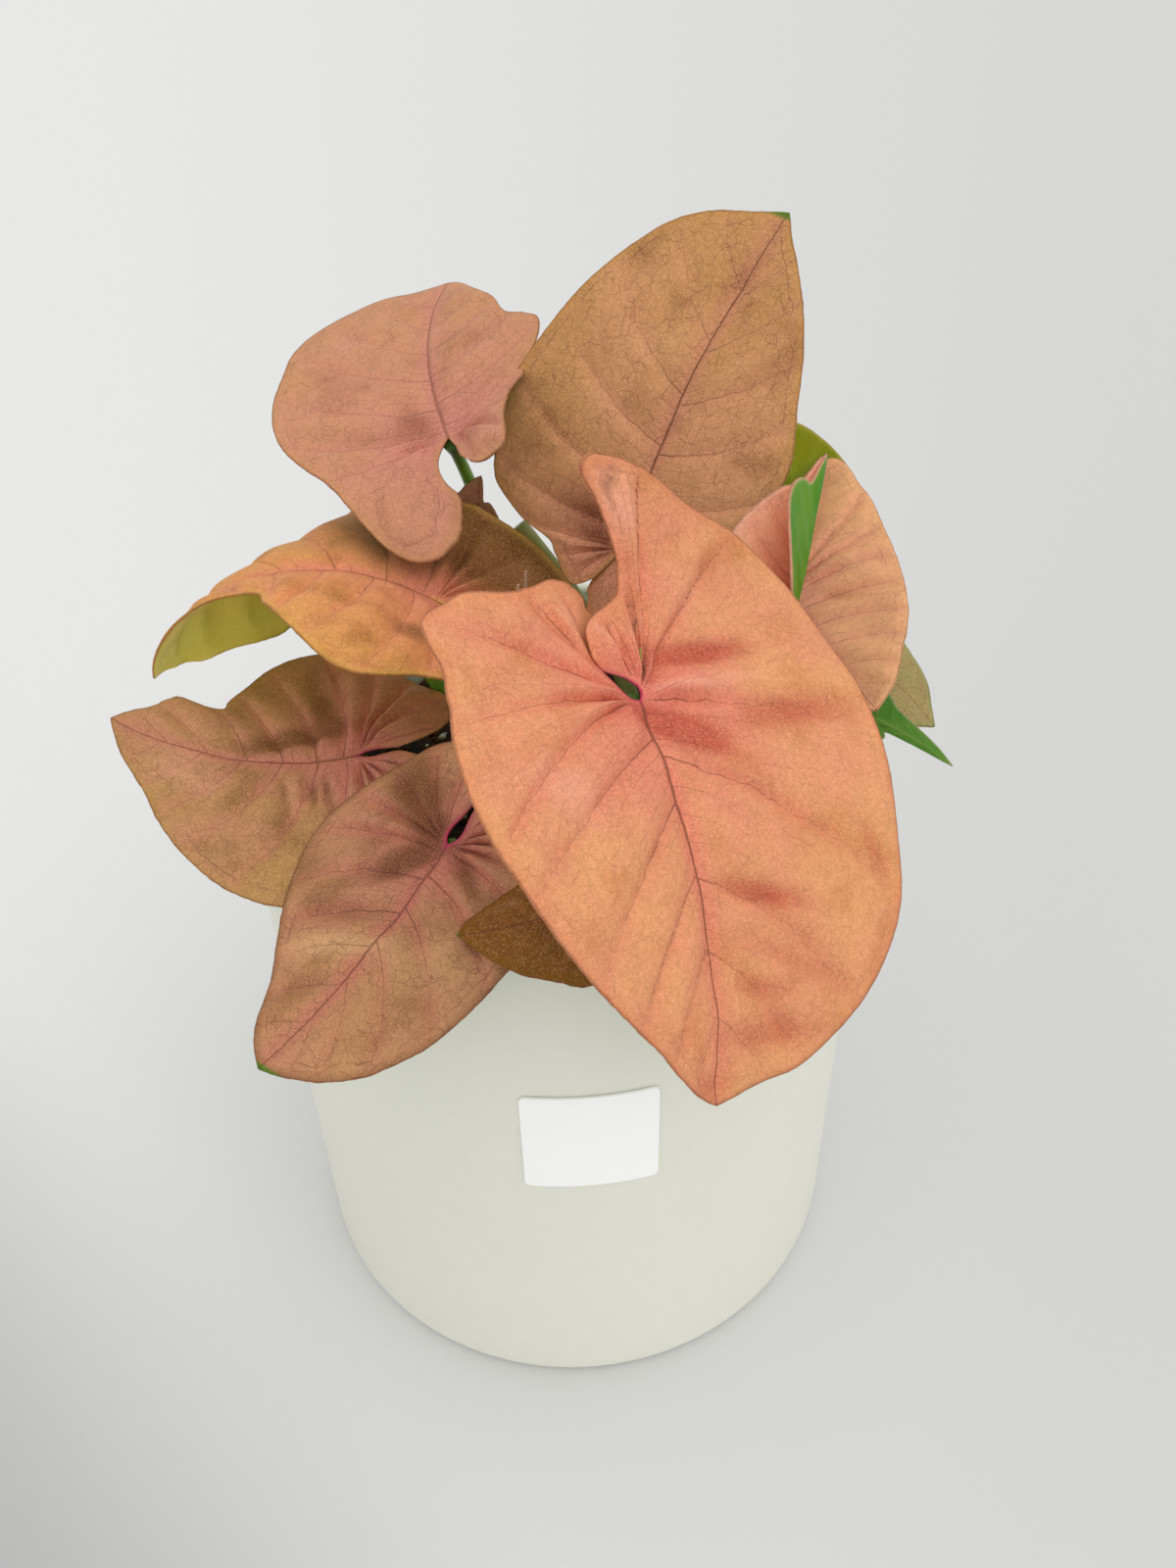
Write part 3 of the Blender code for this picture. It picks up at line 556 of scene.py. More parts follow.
def blade_under(name, shape, seed):
    """The green underside, with raised veins."""
    look = TINTS[name]
    mat, tree, shader = new_material(name + "_underside", 0.46, Specular_IOR_Level=0.15)
    flat, place = flat_place(tree, seed + 5)
    veins = blade_veins(tree, shape, flat, 2.3)
    grain = grouped(tree, GRAIN, Place=place, Size=0.5, Depth=0.12)
    colour = hue(look["under"])
    pale = tuple(0.6 * c + 0.4 * w for c, w in zip(colour, PALE_GREEN))
    for share, over in ((ramp(cloud(place, 0.09, 2.0), 0.4, 0.65, 0.0, 0.35), pale),
                        (veins["Lines"] * 0.6, pale),
                        (ramp(reading(tree, "edge"), 0.7, 0.0, 0.0, 0.5), hue(look["margin"]))):
        colour = blend(share, colour, over)
    finish_skin(shader, colour, [grain], grain["Height"] - veins["Height"], 0.15, 0.5)
    return mat


# Making objects.

def placed(name, data):
    """A new object of the data, in the scene."""
    made = bpy.data.objects.new(name, data)
    bpy.context.scene.collection.objects.link(made)
    return made


def built(name, shape):
    """A new object of the finished bmesh."""
    mesh = bpy.data.meshes.new(name)
    shape.to_mesh(mesh)
    shape.free()
    return placed(name, mesh)


def thickened(made, depth, offset):
    thick = made.modifiers.new("Thickness", "SOLIDIFY")
    thick.thickness = depth * MM
    thick.offset = offset
    return thick


def settled(made, name):
    """The object's evaluated shape as a plain mesh object at the origin."""
    depsgraph = bpy.context.evaluated_depsgraph_get()
    mesh = bpy.data.meshes.new_from_object(made.evaluated_get(depsgraph), preserve_all_data_layers=True,
                                           depsgraph=depsgraph)
    mesh.name = name
    piece = placed(name, mesh)
    bpy.data.objects.remove(made, do_unlink=True)
    return piece


def grown(made, tree, name, **inputs):
    """The result of a geometry node tree on an object, as a plain mesh piece."""
    step = made.modifiers.new(tree.name, "NODES")
    step.node_group = tree
    for item in tree.interface.items_tree:
        if item.item_type == "SOCKET" and item.in_out == "INPUT" and item.name in inputs:
            step[item.identifier] = inputs[item.name]
    return settled(made, name)


def clothed(shape, material):
    """The end of a geometry tree: instances made real, with their material."""
    real = signal(shape.tree, "GeometryNodeRealizeInstances", Geometry=shape)
    return signal(shape.tree, "GeometryNodeSetMaterial", Geometry=real, Material=material)


def object_place(tree, factor=(1000, 1000, 1000)):
    """The object's own coordinates, from metres into millimetres."""
    return signal(tree, "ShaderNodeTexCoord", "Object").scaled(factor)


# Leaf form, as the solids have it, on a finer net with veins pressed in.

def through(knots, values, at):
    """A smooth curve through the knots, read at the given places."""
    knots = np.array(knots, float)
    values = np.array(values, float)
    step = np.diff(knots)
    slope = np.diff(values) / step
    tangent = np.empty_like(values)
    tangent[0] = slope[0]
    tangent[-1] = slope[-1]
    tangent[1:-1] = (slope[:-1] * step[1:] + slope[1:] * step[:-1]) / (step[1:] + step[:-1])
    i = np.clip(np.searchsorted(knots, at, side="right") - 1, 0, len(step) - 1)
    t = (at - knots[i]) / step[i]
    return ((2 * t**3 - 3 * t**2 + 1) * values[i] + (t**3 - 2 * t**2 + t) * step[i] * tangent[i]
            + (3 * t**2 - 2 * t**3) * values[i + 1] + (t**3 - t**2) * step[i] * tangent[i + 1])


def outline(reaches, sinus):
    """Bearings from the tip, and the margin's distance from the joint at each."""
    if np.ndim(reaches) == 1:
        return np.array(BEARINGS + (sinus,), float), np.array(reaches, float)
    pairs = np.array(reaches, float)
    return pairs[:, 0], pairs[:, 1]


def leaf_length(shape):
    """The distance from the joint to the tip on the flat leaf."""
    return outline(shape["left"], shape["sinus"])[1][0]


def half_outline(shape, side):
    return outline(shape["left" if side > 0 else "right"], shape["sinus"])


def ray_bearings(stations, step):
    """The outline's own bearings, with more between those that are far apart."""
    rays = [stations[0]]
    for a, b in zip(stations, stations[1:]):
        parts = max(1, math.ceil((b - a) / step))
        rays += [a + (b - a) * (k + 1) / parts for k in range(parts)]
    return np.array(rays)


def hooked(bearing, reach, shape, side):
    """Flat positions of one half, with the lobe's hook and the sinus pinched open beside the joint."""
    half = 0 if side > 0 else 1
    ease = np.clip((bearing - 90) / 60, 0, 1)
    ease = ease * ease * (3 - 2 * ease)
    last = half_outline(shape, side)[0][-1]
    opened = shape["pinch"][half] * np.exp(-(reach / PINCH_REACH) ** 2)
    opened = opened * np.clip((bearing - PINCH_FROM) / (last - PINCH_FROM), 0, 1)
    angle = np.radians(bearing + ease * shape["hook"][half] * (2 * reach / leaf_length(shape)) ** 2 - opened)
    return np.stack([reach * np.cos(angle), reach * np.sin(angle)], -1)


def creased(points, crease):
    """The lobe beyond a line through the joint, turned up about that line."""
    bearing, angle, width = crease
    along = np.radians(180 + bearing)
    line = np.array([math.cos(along), math.sin(along), 0])
    across = np.array([-math.sin(along), math.cos(along), 0])
    s = points @ across
    bent_by = np.radians(angle) * np.clip(s, 0, width) / width
    radius = width / np.radians(angle)
    past = np.clip(s - width, 0, None)
    out = np.where(s > 0, radius * np.sin(bent_by) + past * np.cos(bent_by), s)
    up = np.where(s > 0, radius * (1 - np.cos(bent_by)) + past * np.sin(bent_by), 0)
    return (points @ line)[..., None] * line + out[..., None] * across + up[..., None] * np.array([0, 0, 1.0])


def midrib(shape):
    """Places along the midrib, and its side view: x, z and slope, bent by droop and sag."""
    length = leaf_length(shape)
    back = 0.6 * length
    s = np.linspace(-back, length, MIDRIB_STEPS + 1)
    slope = np.radians(np.where(s >= 0, -shape["droop"] * s / length, -shape["sag"] * s / back))
    step = s[1] - s[0]
    x, z = [np.concatenate([[0], np.cumsum((rate[1:] + rate[:-1]) / 2 * step)])
            for rate in (np.cos(slope), np.sin(slope))]
    return s, x - np.interp(0, s, x), z - np.interp(0, s, z), slope


def bent(points, shape, side):
    """Flat points of one half, folded at the midrib, curled across and bent along it."""
    half = 0 if side > 0 else 1
    length = leaf_length(shape)
    x, y, lift = points[..., 0], points[..., 1] * side, points[..., 2]
    share = np.clip(x / length, 0, 1)
    fold = np.radians(shape["fold"][half] + (shape["tip_fold"][half] - shape["fold"][half]) * share)
    curl = shape["curl"][half] + (shape["tip_curl"][half] - shape["curl"][half]) * share
    curl = np.radians(np.where(np.abs(curl) < 0.001, 0.001, curl)) / 10
    end = fold + curl * y
    out = (np.sin(end) - np.sin(fold)) / curl - lift * np.sin(end)
    up = (np.cos(fold) - np.cos(end)) / curl + lift * np.cos(end)
    s, rib_x, rib_z, rib_slope = midrib(shape)
    slope = np.interp(x, s, rib_slope)
    sway = shape["sweep"] * np.clip(x / length, 0, None) ** 2
    return np.stack([np.interp(x, s, rib_x) - up * np.sin(slope), out * side + sway,
                     np.interp(x, s, rib_z) + up * np.cos(slope)], -1)


def leaf_axes(shape):
    """Columns: the leaf's tip, left and top directions in the plant."""
    axes = np.eye(3)
    for key, a, b in (("turn", 0, 1), ("pitch", 0, 2), ("roll", 1, 2)):
        angle = math.radians(shape[key])
        spin = np.eye(3)
        spin[a, a] = spin[b, b] = math.cos(angle)
        spin[a, b], spin[b, a] = -math.sin(angle), math.sin(angle)
        axes = axes @ spin
    return axes


def side_veins(shape, side):
    """Flat paths of one half's side veins, from the sinus to the tip, each a bent line."""
    stations, reaches = half_outline(shape, side)
    length = leaf_length(shape)
    paths = []
    for k, (start_share, bearing, bow) in enumerate(shape["veins"][0 if side > 0 else 1]):
        if bearing > stations[-1] - 5:
            continue
        shift = math.sin(12.9 * k + 2.2 * side + shape["turn"])
        start = np.array([(start_share + (0.02 * shift if start_share else 0)) * length, 0.0])
        ray = np.array(bearing + 1.5 * shift)
        end = hooked(ray, 0.95 * through(stations, reaches, ray), shape, side)
        run = end - start
        first = math.radians(math.degrees(math.atan2(run[1], run[0])) % 360 + bow)
        middle = start + 0.5 * np.hypot(*run) * np.array([math.cos(first), math.sin(first)])
        t = np.linspace(0, 1, 14)[:, None]
        paths.append((1 - t) ** 2 * start + 2 * t * (1 - t) * middle + t * t * end)
    return paths


def signed_distance(points, path):
    """Distance to a path that runs on at both ends, positive towards the tip."""
    best = np.full(len(points), 1e9)
    signed = np.zeros(len(points))
    last = len(path) - 2
    for k, (a, b) in enumerate(zip(path, path[1:])):
        run = b - a
        t = (points - a) @ run / (run @ run)
        t = np.clip(t, -1e9 if k == 0 else 0, 1e9 if k == last else 1)
        gap = points - a - t[:, None] * run
        far = np.hypot(gap[:, 0], gap[:, 1])
        turn = run[0] * gap[:, 1] - run[1] * gap[:, 0]
        nearer = far < best
        signed = np.where(nearer, -np.sign(turn) * far, signed)
        best = np.where(nearer, far, best)
    return signed


def vein_field(flat, shape, side):
    """For flat points (y towards the margin): running vein number, width of the gap, nearest vein."""
    far = np.stack([signed_distance(flat, path) for path in side_veins(shape, side)])
    count = len(far)
    passed = (far > 0).sum(0)
    pick = np.arange(flat.shape[0])
    before = far[np.clip(passed - 1, 0, count - 1), pick]
    after = -far[np.clip(passed, 0, count - 1), pick]
    before = np.where(passed == 0, 12.0 - np.clip(after, 0, 11.9), before)
    after = np.where(passed == count, 12.0 - np.clip(before, 0, 11.9), after)
    gap = np.maximum(before + after, 0.2)
    return passed - 1 + before / gap, gap, np.minimum(np.abs(before), np.abs(after))


def pressed(x, y, hollows):
    """Summed depth of the hollows at flat places."""
    depth = 0 * x
    for middle_x, middle_y, half_length, half_width, bearing, deep in hollows:
        turn = math.radians(bearing)
        along = (x - middle_x) * math.cos(turn) + (y - middle_y) * math.sin(turn)
        across = (y - middle_y) * math.cos(turn) - (x - middle_x) * math.sin(turn)
        depth += deep * np.exp(-(along / half_length) ** 2 - (across / half_width) ** 2)
    return depth


def vein_glow(length, x, y, r, near):
    """How strongly the pink of the veins shows: along the midrib, the side veins and about the joint."""
    glow = 0.9 * np.exp(-(y / 2.4) ** 2) * (1 - 0.5 * np.clip(x / length, 0, 1)) * (x > -1)
    glow = np.maximum(glow, np.exp(-(near / 1.5) ** 2) * (0.15 + 0.8 * np.exp(-r / 15)))
    return np.clip(np.maximum(glow, np.exp(-(r / (0.2 * length)) ** 2)), 0, 1)


def blade_relief(shape, x, y, r, phase, near, edge, dent):
    """Height over the smooth blade: bulges between veins, grooves along them, and the hollows."""
    between = phase - np.floor(phase)
    bulge = 4 * between * (1 - between) * (1 + 0.7 * (2 * between - 1))
    bulge = bulge * np.where(x > 0, 1 - np.exp(-(y / 4) ** 2), 1) * (0.7 + 0.9 * np.exp(-r / 16))
    groove = np.exp(-(np.minimum(near, y) / 0.9) ** 2)
    settle = np.clip(r / 6, 0, 1) * np.clip(edge / 3.5, 0, 1)
    return (shape["pillow"] * bulge - shape["groove"] * groove - HOLLOW_DEPTH * dent) * settle


def half_net(shape, side, hollows):
    """One half of a blade: bent positions, flat places, relief and the readings that its skin uses."""
    stations, reaches = half_outline(shape, side)
    size = shape["size"]
    rays = ray_bearings(stations, shape["step"])
    margin = through(stations, reaches, rays)
    way = np.concatenate([[0], np.cumsum(np.hypot(np.diff(margin), np.radians(np.diff(rays)) * margin[1:]))])
    scallops = np.array([noise.noise(Vector((w / 1.1, side * 3.7, shape["turn"]))) for w in way])
    reach = (margin + SCALLOP * scallops * np.clip(way / 3, 0, 1))[:, None]
    reach = reach * np.linspace(0, 1, shape["rings"] + 1)
    flat = hooked(rays[:, None] + 0 * reach, reach, shape, side)
    phase, gap, near = [part.reshape(reach.shape) for part in vein_field(flat.reshape(-1, 2), shape, side)]
    gap, near = gap * size, near * size
    x, y, r = flat[..., 0] * size, np.abs(flat[..., 1]) * size, reach * size
    to_sinus = r * np.sin(np.radians(np.clip(rays[-1] - rays, 0, 90)))[:, None]
    edge = np.minimum((reach[:, -1:] - reach) * size * 0.9, to_sinus + 0.02)
    dent = pressed(flat[..., 0], flat[..., 1] * side, hollows)
    flat = np.stack([flat[..., 0], flat[..., 1] * side, 0 * reach], -1)
    rows = bent(creased(flat, shape["crease"]) if shape["crease"] and side < 0 else flat, shape, side)
    return dict(rows=rows, place=flat[..., :2] * size, phase=phase, gap=gap, edge=edge, dent=dent,
                glow=vein_glow(reaches[0] * size, x, y, r, near),
                rim=np.exp(-(to_sinus / 0.7) ** 2) * np.exp(-(r / 7) ** 2),
                relief=blade_relief(shape, x, y, r, phase, near, edge, dent))


def grid_faces(index):
    """Triangles about the joint and quads out to the margin."""
    faces = []
    for near, far in zip(index, index[1:]):
        faces.append((0, near[1], far[1]))
        faces += [(near[k], near[k + 1], far[k + 1], far[k]) for k in range(1, len(near) - 1)]
    return faces


def blade_mesh(name, shape, seed):
    """The upper face of a blade with veins pressed in, its readings and its flat UV map."""
    right, left = [half_net(shape, side, HOLLOWS.get(name, ())) for side in (-1, 1)]
    net = {key: np.concatenate([right[key][:0:-1], left[key]]) for key in right}
    spots = (np.array(shape["joint"]) + shape["size"] * net["rows"] @ leaf_axes(shape).T) * MM
    keep = np.ones(spots.shape[:2], bool)
    keep[1:, 0] = False
    index = np.cumsum(keep).reshape(keep.shape) - 1
    index[:, 0] = 0
    mesh = bpy.data.meshes.new(name + "_blade")
    mesh.from_pydata(spots[keep].tolist(), [], grid_faces(index.tolist()))
    mesh.update()
    normals = np.array([n.vector[:] for n in mesh.vertex_normals])
    flat = net["place"][keep]
    ripple, patchy = [np.array([noise.noise(Vector((x / wide, y / wide, seed * apart))) for x, y in flat])
                      for wide, apart in ((14, 3.1), (9, 5.3))]
    lift = net["relief"][keep] * (1 + 0.9 * patchy)
    lift = lift + shape["wave"] * ripple * np.clip(np.hypot(*flat.T) / 12, 0, 1)
    mesh.vertices.foreach_set("co", (spots[keep] + normals * lift[:, None] * MM).ravel())
    for key in BLADE_READINGS:
        reading = mesh.attributes.new(key, "FLOAT", "POINT")
        reading.data.foreach_set("value", net[key][keep].astype(np.float32))
    uv = mesh.uv_layers.new(name="flat")
    corner = np.empty(len(mesh.loops), np.int32)
    mesh.loops.foreach_get("vertex_index", corner)
    uv.data.foreach_set("uv", (flat[corner] / FLAT_SPAN + 0.5).astype(np.float32).ravel())
    mesh.shade_smooth()
    return mesh


def blade_piece(name, shape, seed):
    """A leaf blade with its thickness and its green underside."""
    mesh = blade_mesh(name, shape, seed)
    mesh.materials.append(blade_top(name, shape, seed))
    mesh.materials.append(blade_under(name, shape, seed))
    sheet = placed(name + "_sheet", mesh)
    thickened(sheet, SKIN, -1).material_offset = 1
    piece = settled(sheet, name + "_blade")
    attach(piece, "root")
    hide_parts(name)
    name + "_skin"


# Stalks.

def stalk_points(shape):
    """Bezier points from the crown up into the blade's underside."""
    axes = leaf_axes(shape)
    dip = math.radians(shape["dip"])
    top = Vector(axes[:, 2])
    along = -Vector(axes[:, 0]) * math.cos(dip) - top * math.sin(dip)
    end = Vector(shape["joint"]) - top * (STALK_STOP + STALK_TIP * abs(math.cos(dip)))
    x, y = CROWNS[shape["crown"]]
    start = Vector((x, y, STALK_START))
    low = Vector(shape["low"]) if shape["low"] else start + Vector(STALK_RISE) + (end - start) * STALK_LEAN
    bow = shape["bow"] if shape["bow"] else 0.4 * (end - start).length
    return start, low, end + along * bow, end


def stalk_material(name, foot, middle, tip):
    """Stalk skin in three colours along its length, finely streaked."""
    mat, tree, shader = new_material(name, 0.45, Specular_IOR_Level=0.3)
    rise = reading(tree, "rise")
    streaks = grouped(tree, GRAIN, Place=object_place(tree, (1000, 1000, 160)), Size=0.9, Depth=0.25)
    colour = blend(ramp(rise, 0.0, 0.25), hue(foot), hue(middle))
    colour = blend(ramp(rise, 0.85, 1.0), colour, hue(tip))
    finish_skin(shader, colour, [streaks], streaks["Height"], 0.1, 0.4)
    return mat


def stalk_tree(mat):
    """Geometry nodes: a round stalk along each spline, thick at the foot and flared under the blade."""
    tree = bpy.data.node_groups.new("stalks_along_paths", "GeometryNodeTree")
    get, out = sockets(tree, {"Paths": "Geometry", "Sides": 20, "Steps": 40, "Flare": 0.25}, ("Geometry",),
                       "Geometry")
    fine = signal(tree, "GeometryNodeResampleCurve", Curve=get["Paths"], Count=get["Steps"])
    share = signal(tree, "GeometryNodeSplineParameter", "Factor")
    radius = signal(tree, "GeometryNodeInputRadius")
    # The flare is laid on twice, so that it opens faster towards its end.
    flare = ramp(share, 0.95, 1.0) * get["Flare"]
    wide = flare.math("MULTIPLY_ADD", radius, radius)
    wide = flare.math("MULTIPLY_ADD", wide, wide)
    kept = signal(tree, "GeometryNodeStoreNamedAttribute", Geometry=fine, Name="rise", Value=share)
    ring = signal(tree, "GeometryNodeCurvePrimitiveCircle", Resolution=get["Sides"], Radius=1.0)
    tube = signal(tree, "GeometryNodeCurveToMesh", Curve=kept, Profile_Curve=ring, Scale=wide, Fill_Caps=True)
    smooth = signal(tree, "GeometryNodeSetShadeSmooth", Geometry=tube)
    deliver(tree, out, Geometry=clothed(smooth, mat))
    return tree


def stem_curve(name):
    curve = bpy.data.curves.new(name + "_paths", "CURVE")
    curve.dimensions = "3D"
    curve.resolution_u = 24
    return curve


def bezier_path(curve, points, base, tip):
    """One bent line in a curve, from its four Bezier points, with its radii."""
    spline = curve.splines.new("BEZIER")
    spline.bezier_points.add(1)
    first, last = spline.bezier_points
    first.co, first.handle_right, last.handle_left, last.co = [Vector(point) * MM for point in points]
    first.handle_left = first.co * 2 - first.handle_right
    last.handle_right = last.co * 2 - last.handle_left
    first.radius = base * MM
    last.radius = tip * MM


def stem_piece(curve, tree, name, owner, flare):
    """Stalks or a shoot grown along the paths of a curve."""
    piece = grown(placed(name + "_paths", curve), tree, name + "_skin", Sides=20, Steps=44, Flare=flare)
    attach(piece, "root")
    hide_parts(owner)


def shoot_piece(name, tree):
    """A leafless shoot beside the stalks."""
    owner, bends, base, tip = SHOOTS[name]
    curve = stem_curve(name)
    bezier_path(curve, [CROWNS[owner] + (STALK_START,), *bends], base, tip)
    stem_piece(curve, tree, name, owner, 0)


def stalks_piece(name, tree):
    """All the stalks of one crown, and the crown."""
    curve = stem_curve(name)
    for shape in LEAVES.values():
        if shape["crown"] == name:
            bezier_path(curve, stalk_points(shape), STALK_BASE, STALK_TIP)
    x, y = CROWNS[name]
    crown = curve.splines.new("BEZIER")
    crown.bezier_points.add(len(CROWN_RADII) - 1)
    for spot, (height, width) in zip(crown.bezier_points, CROWN_RADII):
        spot.co = Vector((x, y, height)) * MM
        spot.handle_left_type = spot.handle_right_type = "AUTO"
        spot.radius = width * MM
    stem_piece(curve, tree, name, name, 0.25)


# Pot, soil and label.

def pot_material():
    """Off-white satin glaze with a faint mottle and a fine orange-peel surface."""
    mat, tree, shader = new_material("pot_glaze_satin", 0.42, Specular_IOR_Level=0.45, Coat_Weight=0.12,
                                     Coat_Roughness=0.3)
    place = object_place(tree)
    mottle = grouped(tree, GRAIN, Place=place, Size=6.0, Depth=0.02)
    peel = grouped(tree, GRAIN, Place=place, Size=0.8, Depth=0.015)
    feed(tree, shader.inputs["Roughness"], mottle["Height"] * 0.14 + 0.34)
    finish_skin(shader, hue(POT_WHITE), [mottle, peel], peel["Height"], 0.05, 0.25)
    return mat


def label_material():
    """Bare white coated paper that glows faintly: painted light."""
    # The faint white emission is painted light that brightens the paper.
    mat, tree, shader = new_material("label_paper_white", 0.36, Specular_IOR_Level=0.5,
                                     Emission_Color=(1, 1, 1, 1), Emission_Strength=0.08)
    grain = grouped(tree, GRAIN, Place=object_place(tree), Size=0.6, Depth=0.025)
    finish_skin(shader, hue(LABEL_WHITE), [grain], grain["Height"], 0.03, 0.3)
    return mat


def crumb_material(name, dark, light, size):
    """Damp crumb, from dark to light."""
    mat, tree, shader = new_material(name, 0.85, Specular_IOR_Level=0.2)
    place = object_place(tree)
    grain = grouped(tree, GRAIN, Place=place, Size=size, Depth=0.5)
    colour = blend(ramp(cloud(place, 0.35, 4.0), 0.35, 0.7), hue(dark), hue(light))
    finish_skin(shader, colour, [grain], grain["Height"], 0.4, 0.8)
    return mat


def arc(centre, radius, start, end, steps):
    """Points (radius from the axis, height) along an arc, angles in degrees."""
    angles = np.radians(np.linspace(start, end, steps + 1))
    return [(centre[0] + radius * math.cos(a), centre[1] + radius * math.sin(a)) for a in angles]


def turned(name, profile, mat, turns):
    """A body of revolution about Z from its (radius, height) profile in millimetres."""
    mesh = bpy.data.meshes.new(name)
    edges = [(i, i + 1) for i in range(len(profile) - 1)]
    mesh.from_pydata([(r * MM, 0, z * MM) for r, z in profile], edges, [])
    mesh.materials.append(mat)
    made = placed(name + "_profile", mesh)
    screw = made.modifiers.new("Turn", "SCREW")
    screw.steps = screw.render_steps = turns
    screw.use_merge_vertices = True
    screw.merge_threshold = 0.00001
    piece = settled(made, name)
    piece.data.shade_smooth()
    return piece


def pot_piece():
    """The pot, a straight-sided cylinder with a rounded foot and rim."""
    inner = POT_RADIUS - POT_WALL
    foot = POT_FOOT_ROUND
    rim = POT_RIM_ROUND
    profile = [(0, POT_FLOOR)]
    profile += arc((inner - foot, POT_FLOOR + foot), foot, -90, 0, 6)
    profile += [(inner, z) for z in WALL_HEIGHTS]
    profile += arc((inner + rim, POT_HEIGHT - rim), rim, 180, 90, 5)
    profile += arc((POT_RADIUS - rim, POT_HEIGHT - rim), rim, 90, 0, 5)
    profile += [(POT_RADIUS, z) for z in WALL_HEIGHTS[::-1]]
    profile += arc((POT_RADIUS - foot, foot), foot, 0, -90, 8)
    profile.append((0, 0))
    piece = turned("pot_body", profile, pot_material(), 180)
    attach(piece, "root")
    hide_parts("pot")


def label_piece():
    """The bare sticker: a thin rounded rectangle bent to the pot's side."""
    half_w = LABEL_WIDTH / 2
    half_h = (LABEL_HIGH - LABEL_LOW) / 2
    middle = (LABEL_HIGH + LABEL_LOW) / 2
    radius = POT_RADIUS + LABEL_STAND
    shape = bmesh.new()
    bmesh.ops.create_grid(shape, x_segments=40, y_segments=40, size=1)
    for vert in shape.verts:
        u, v = vert.co.x * half_w, vert.co.y * half_h
        over_u = max(0, abs(u) - (half_w - LABEL_CORNER))
        over_v = max(0, abs(v) - (half_h - LABEL_CORNER))
        reach = math.hypot(over_u, over_v)
        if reach > LABEL_CORNER:
            u -= math.copysign(over_u * (1 - LABEL_CORNER / reach), u)
            v -= math.copysign(over_v * (1 - LABEL_CORNER / reach), v)
        angle = math.radians(LABEL_TURN - 90) + u / radius
        vert.co = Vector((radius * math.cos(angle), radius * math.sin(angle), middle + v)) * MM
    sheet = built("label_sheet", shape)
    sheet.data.materials.append(label_material())
    sheet.data.shade_smooth()
    thickened(sheet, LABEL_THICKNESS, 1)
    piece = settled(sheet, "label_sticker")
    piece.data.set_sharp_from_angle(angle=math.radians(40))
    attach(piece, "root")
    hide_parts("label")


def scatter_tree():
    """Geometry nodes: crumbs of mixed size and turn, spread over the faces that point up."""
    tree = bpy.data.node_groups.new("crumbs_on_top", "GeometryNodeTree")
    get, out = sockets(tree, {"Ground": "Geometry", "Density": 40000.0, "Smallest": 0.4, "Largest": 1.0,
                              "Crumb": 0.0015, "Seed": 1, "Material": "Material"}, ("Geometry",), "Geometry")
    upward = signal(tree, "GeometryNodeInputNormal").split()[2]
    spots = signal(tree, "GeometryNodeDistributePointsOnFaces", Mesh=get["Ground"], Density=get["Density"],
                   Seed=get["Seed"], Selection=upward.math("GREATER_THAN", 0.6))
    ball = signal(tree, "GeometryNodeMeshIcoSphere", Radius=get["Crumb"], Subdivisions=2)
    sway = signal(tree, "ShaderNodeTexNoise", "Color", Scale=600.0, Detail=1.0)
    lump = signal(tree, "GeometryNodeSetPosition", Geometry=ball,
                  Offset=sway.scaled((CRUMB_SWAY,) * 3, (-CRUMB_SWAY / 2,) * 3))
    turns = signal(tree, "FunctionNodeRandomValue", data_type="FLOAT_VECTOR", Max=(6.28, 6.28, 6.28),
                   Seed=get["Seed"])
    sizes = put(tree, "FunctionNodeRandomValue", data_type="FLOAT", Seed=get["Seed"])
    feed(tree, sizes.inputs[2], get["Smallest"])
    feed(tree, sizes.inputs[3], get["Largest"])
    many = signal(tree, "GeometryNodeInstanceOnPoints", Points=spots, Instance=lump, Rotation=turns,
                  Scale=Signal(tree, sizes.outputs[1]))
    deliver(tree, out, Geometry=clothed(many, get["Material"]))
    return tree


def soil_ground(name):
    """The potting mix's lumpy domed top and its sides."""
    radius = POT_RADIUS - POT_WALL - SOIL_GAP
    foot = SOIL_TOP - SOIL_DEPTH
    rings, turns = 24, 72
    shape = bmesh.new()
    centre = shape.verts.new((0, 0, SOIL_TOP * MM))
    grid = []
    for j in range(turns):
        angle = 2 * math.pi * j / turns
        row = []
        for k in range(1, rings + 1):
            share = k / rings
            x, y = radius * share * math.cos(angle), radius * share * math.sin(angle)
            lump = noise.noise(Vector((x / SOIL_LUMP_SPAN, y / SOIL_LUMP_SPAN, 2.0))) * (1 - share ** 6)
            z = SOIL_TOP - SOIL_DOME * share * share + SOIL_LUMP * (lump - 0.5)
            row.append(shape.verts.new(Vector((x, y, z)) * MM))
        row.append(shape.verts.new(Vector((radius * math.cos(angle), radius * math.sin(angle), foot)) * MM))
        grid.append(row)
    base = shape.verts.new((0, 0, foot * MM))
    for a, b in zip(grid, grid[1:] + grid[:1]):
        shape.faces.new((centre, a[0], b[0]))
        for k in range(len(a) - 1):
            shape.faces.new((a[k], a[k + 1], b[k + 1], b[k]))
        shape.faces.new((base, b[-1], a[-1]))
    return built(name, shape)


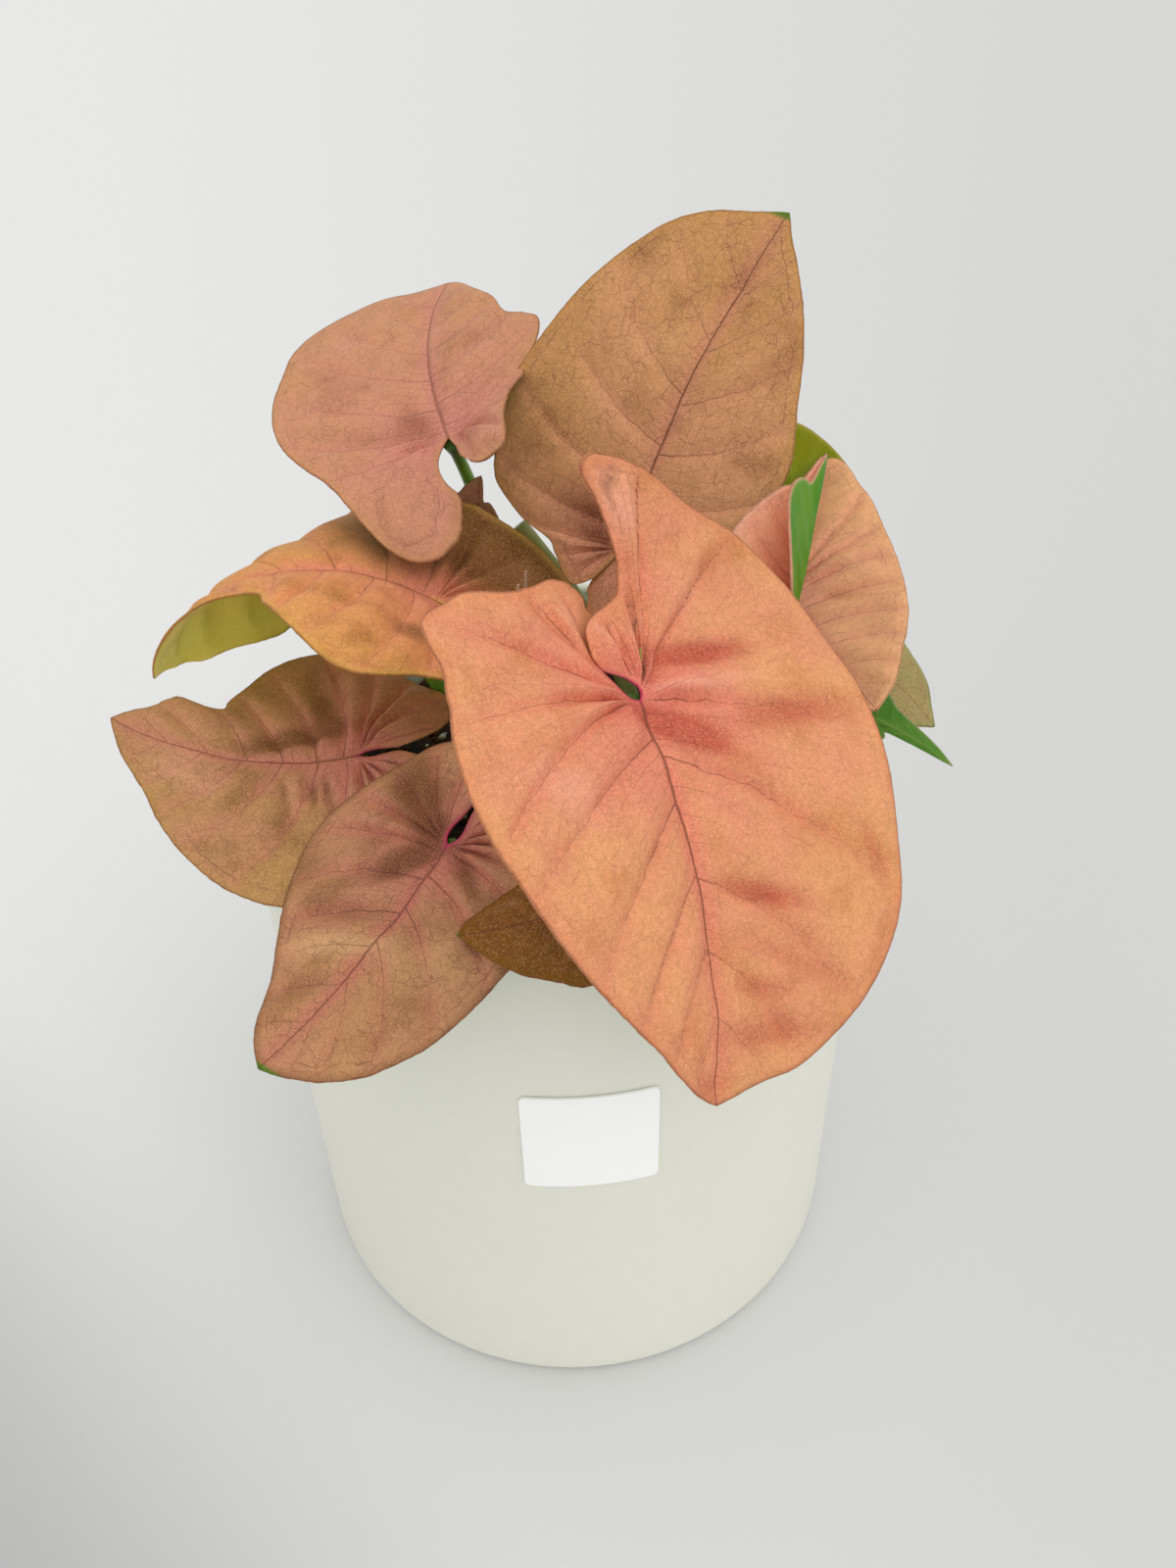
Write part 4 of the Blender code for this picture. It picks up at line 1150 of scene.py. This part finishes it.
def soil_pieces():
    """The potting mix with bark crumbs and a few white perlite grains."""
    ground = soil_ground("potting_mix_ground")
    ground.data.materials.append(crumb_material("potting_mix_dark", "18100A", "3A281A", 0.9))
    ground.data.shade_smooth()
    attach(ground, "root")
    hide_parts("soil")
    tree = scatter_tree()
    for name, mat, density, crumb, seed in (
            ("bark_crumbs", crumb_material("bark_crumb", "2A1C12", "5A402A", 0.7), 120000.0, 0.0014, 3),
            ("perlite_grains", crumb_material("perlite_grain", "B8B4A8", "E0DDD2", 0.5), 9000.0, 0.0011, 8)):
        piece = grown(soil_ground(name + "_ground"), tree, name, Density=density, Crumb=crumb, Seed=seed,
                      Material=mat)
        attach(piece, "root")


# Stage, light and camera.

CAMERA_HEIGHT_ANGLE = 38.2
CAMERA_ROLL = 1.46
CAMERA_SPOT = (0.0055, -0.20644, 0.28296)
CAMERA_LENS = 29.25
CAMERA_SENSOR = 36
FLOOR_HALF = 6.0
FLOOR_LIT_LEFT = "E2E2E1"
FLOOR_SHADED_RIGHT = "D0D0CF"
FLOOR_SHADE = "B5B5B5"
WINDOW_STRENGTH = 1.0
WINDOW_SPREAD = 70
WINDOW_WAY = (-0.3, 0.35, -1)
ROOM_STRENGTH = 0.78


def add_stage():
    """A wide pale floor with painted light and shade: lighter to the left, darker to the right, and painted
    shade in a soft patch at the pot's left front.
    """
    mesh = bpy.data.meshes.new("stage_floor")
    corners = [(x * FLOOR_HALF, y * FLOOR_HALF, 0) for x, y in ((-1, -1), (1, -1), (1, 1), (-1, 1))]
    mesh.from_pydata(corners, [], [(0, 1, 2, 3)])
    mat, tree, shader = new_material("stage_card", 0.9, Specular_IOR_Level=0.1)
    spot = signal(tree, "ShaderNodeTexCoord", "Object")
    x, y, _ = spot.split()
    away = signal(tree, "ShaderNodeVectorMath", "Value", operation="LENGTH", Vector=spot)
    # Painted light and shade: the floor's colour goes from lit at the left to shaded at the right.
    colour = blend(ramp(x / (abs(y) + 0.3), -0.45, 0.45), hue(FLOOR_LIT_LEFT), hue(FLOOR_SHADED_RIGHT))
    # Painted shade: a soft darker patch at the pot's left front.
    colour = blend(ramp(x + y, -0.1, -0.24) * ramp(away, 0.26, 0.15), colour, hue(FLOOR_SHADE))
    feed(tree, shader.inputs["Base Color"], colour)
    mesh.materials.append(mat)
    placed("stage_floor", mesh)


def add_light():
    """A very large soft light from the right, above and in front."""
    lamp = bpy.data.lights.new("soft_window", "SUN")
    lamp.energy = WINDOW_STRENGTH
    lamp.angle = math.radians(WINDOW_SPREAD)
    placed("soft_window", lamp).rotation_euler = Vector(WINDOW_WAY).to_track_quat("-Z", "Y").to_euler()


def add_camera():
    """The photo's view: from the front, looking down and slightly rolled."""
    lens = bpy.data.cameras.new("camera")
    lens.lens = CAMERA_LENS
    lens.sensor_width = CAMERA_SENSOR
    lens.sensor_fit = "AUTO"
    lens.clip_start = 0.01
    made = placed("camera", lens)
    made.matrix_world = (Matrix.Translation(CAMERA_SPOT)
                         @ Matrix.Rotation(math.radians(90 - CAMERA_HEIGHT_ANGLE), 4, "X")
                         @ Matrix.Rotation(math.radians(-CAMERA_ROLL), 4, "Z"))
    bpy.context.scene.camera = made


def add_world():
    """Even white light from all around."""
    world = bpy.data.worlds.new("soft_room")
    bpy.context.scene.world = world
    world.use_nodes = True
    background = world.node_tree.nodes["Background"]
    background.inputs["Color"].default_value = (1, 1, 1, 1)
    background.inputs["Strength"].default_value = ROOM_STRENGTH


def main():
    add_stage()
    add_camera()
    add_world()
    add_light()
    bpy.context.scene.view_settings.view_transform = "Standard"
    pot_piece()
    label_piece()
    soil_pieces()
    stalks = stalk_tree(stalk_material("stalk_skin", *STALK_TINTS))
    for name in CROWNS:
        stalks_piece(name, stalks)
    for name, colours in SHOOT_TINTS.items():
        shoot_piece(name, stalk_tree(stalk_material(name + "_skin", *colours)))
    for seed, (name, shape) in enumerate(LEAVES.items()):
        blade_piece(name, shape, seed + 1)
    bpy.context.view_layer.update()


main()
